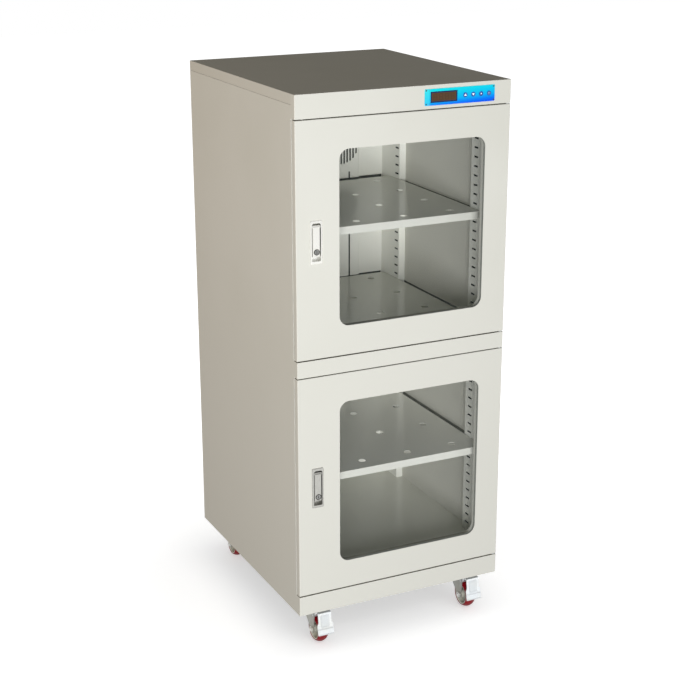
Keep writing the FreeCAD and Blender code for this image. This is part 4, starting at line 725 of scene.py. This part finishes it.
# Studio: white floor and surround for the eye, soft lamps at the height of the cabinet
studio = {"ambient": 0.16, "floorGlow": 0.55, "floorTone": 0.8, "bounceTone": 0.28, "clearFrom": 0.45,
          "clearTo": 1.3, "floorHalf": 14, "casting": ("base_plinth", "caster", "tyre", "wheel", "pedal")}


# White to the eye, in mirrors and through glass; the ambient level to everything else
def seenDirectly(start):
    names = ("Is Camera Ray", "Is Glossy Ray", "Is Transmission Ray")
    straight, mirrored, through = [start.add("LightPath", output=name) for name in names]
    return straight | mirrored | through


def surround():
    world = bpy.data.worlds.new("surround")
    world.use_nodes = True
    world.node_tree.nodes.clear()
    start = Wire(world.node_tree)
    strength = studio["ambient"] + seenDirectly(start) * (1 - studio["ambient"])
    light = start.add("Background", sockets={"Color": (1, 1, 1, 1), "Strength": strength})
    start.add("OutputWorld", sockets={"Surface": light})
    bpy.context.scene.world = world


# Floor: glows a little near the cabinet, where a shadow shows, and turns to pure white farther out
def floor():
    spread = np.linspace(-studio["floorHalf"], studio["floorHalf"], 3)
    across, along = np.meshgrid(spread, spread, indexing="ij")
    ground = gridMesh("floor", [np.stack([along, across, 0 * along], -1)], closed=False)
    material, start = newFinish("floorWhite")
    x, y = partsOf(start, objectSpot(start), "XY")
    seen = seenDirectly(start)
    tone = studio["bounceTone"] + seen * (studio["floorTone"] - studio["bounceTone"])
    grey = start.add("CombineColor", sockets={0: tone, 1: tone, 2: tone})
    matt = start.add("BsdfDiffuse", sockets={"Color": grey})
    away = ((x * x + y * y) ** 0.5).rise(studio["clearFrom"], studio["clearTo"])
    strength = studio["floorGlow"] + away * (1 - studio["floorGlow"])
    glow = start.add("Emission", sockets={"Strength": seen * strength})
    both = start.add("AddShader", sockets={0: matt, 1: glow})
    start.add("OutputMaterial", sockets={"Surface": both})
    ground.data.materials.append(material)
    return ground


# A lamp lights either the floor alone or all but the floor. Base and casters alone shade a floor lamp.
def lamp(name, rig, ground):
    light = bpy.data.lights.new(name, "AREA")
    light.color = rig.get("tint", (1, 1, 1))
    light.shape, light.energy = "RECTANGLE", rig["power"]
    light.size, light.size_y = rig["size"]
    holder = bpy.data.objects.new(name, light)
    away = np.array(rig["place"], float) - np.array(rig["aim"], float)
    flat = math.hypot(away[0], away[1])
    holder.location = rig["place"]
    holder.rotation_euler = (math.atan2(flat, away[2]), 0, math.atan2(away[0], -away[1]))
    bpy.context.scene.collection.objects.link(holder)
    holder.visible_glossy = False
    floorOnly = rig.get("floorOnly", False)
    lit = bpy.data.collections.new(name + "Lit")
    lit.objects.link(ground)
    lit.collection_objects[0].light_linking.link_state = "INCLUDE" if floorOnly else "EXCLUDE"
    holder.light_linking.receiver_collection = lit
    if floorOnly:
        casting = bpy.data.collections.new(name + "Casting")
        for node in nodes:
            if any(word in node for word in studio["casting"]):
                casting.objects.link(nodes[node])
        holder.light_linking.blocker_collection = casting


lamps = {"keyLamp": {"place": (-2.1, -5.2, 1.15), "aim": (0, 0, 0.8), "size": (2.6, 1.9), "power": 342,
                     "tint": (0.951, 0.97, 1)},
         "backLamp": {"place": (2.4, 5.2, 1.15), "aim": (0, 0, 0.8), "size": (2.6, 1.9), "power": 250},
         "warmLamp": {"place": (-3.3, 0.5, 2.0), "aim": (0, 0, 1.2), "size": (1.4, 1.0), "power": 21.6,
                      "tint": (1, 0.73, 0.46)},
         "floorLamp": {"place": (0, -0.6, 4.5), "aim": (0, -0.6, 0), "size": (9, 9), "power": 130,
                       "floorOnly": True},
         "underLamp": {"place": (0.3, -2.9, 1.5), "aim": (0, -0.3, 0), "size": (3.0, 2.6), "power": 32,
                       "floorOnly": True}}
surround()
ground = floor()
for name, rig in lamps.items():
    lamp(name, rig, ground)

# Camera: stands left of the front and a little above, fitted to the cabinet's corners
eye = {"place": (-1.7623, -3.6158, 2.0206), "yaw": 26.196, "pitch": 18.165, "focal": 77.95, "sensor": 36,
       "farthest": 100}
lens = bpy.data.cameras.new("eye")
lens.sensor_width, lens.lens, lens.clip_end = eye["sensor"], eye["focal"], eye["farthest"]
viewer = bpy.data.objects.new("eye", lens)
viewer.location = eye["place"]
viewer.rotation_euler = (math.radians(90 - eye["pitch"]), 0, math.radians(-eye["yaw"]))
bpy.context.scene.collection.objects.link(viewer)
bpy.context.scene.camera = viewer
bpy.context.scene.view_settings.view_transform = "Standard"
print("studio done")
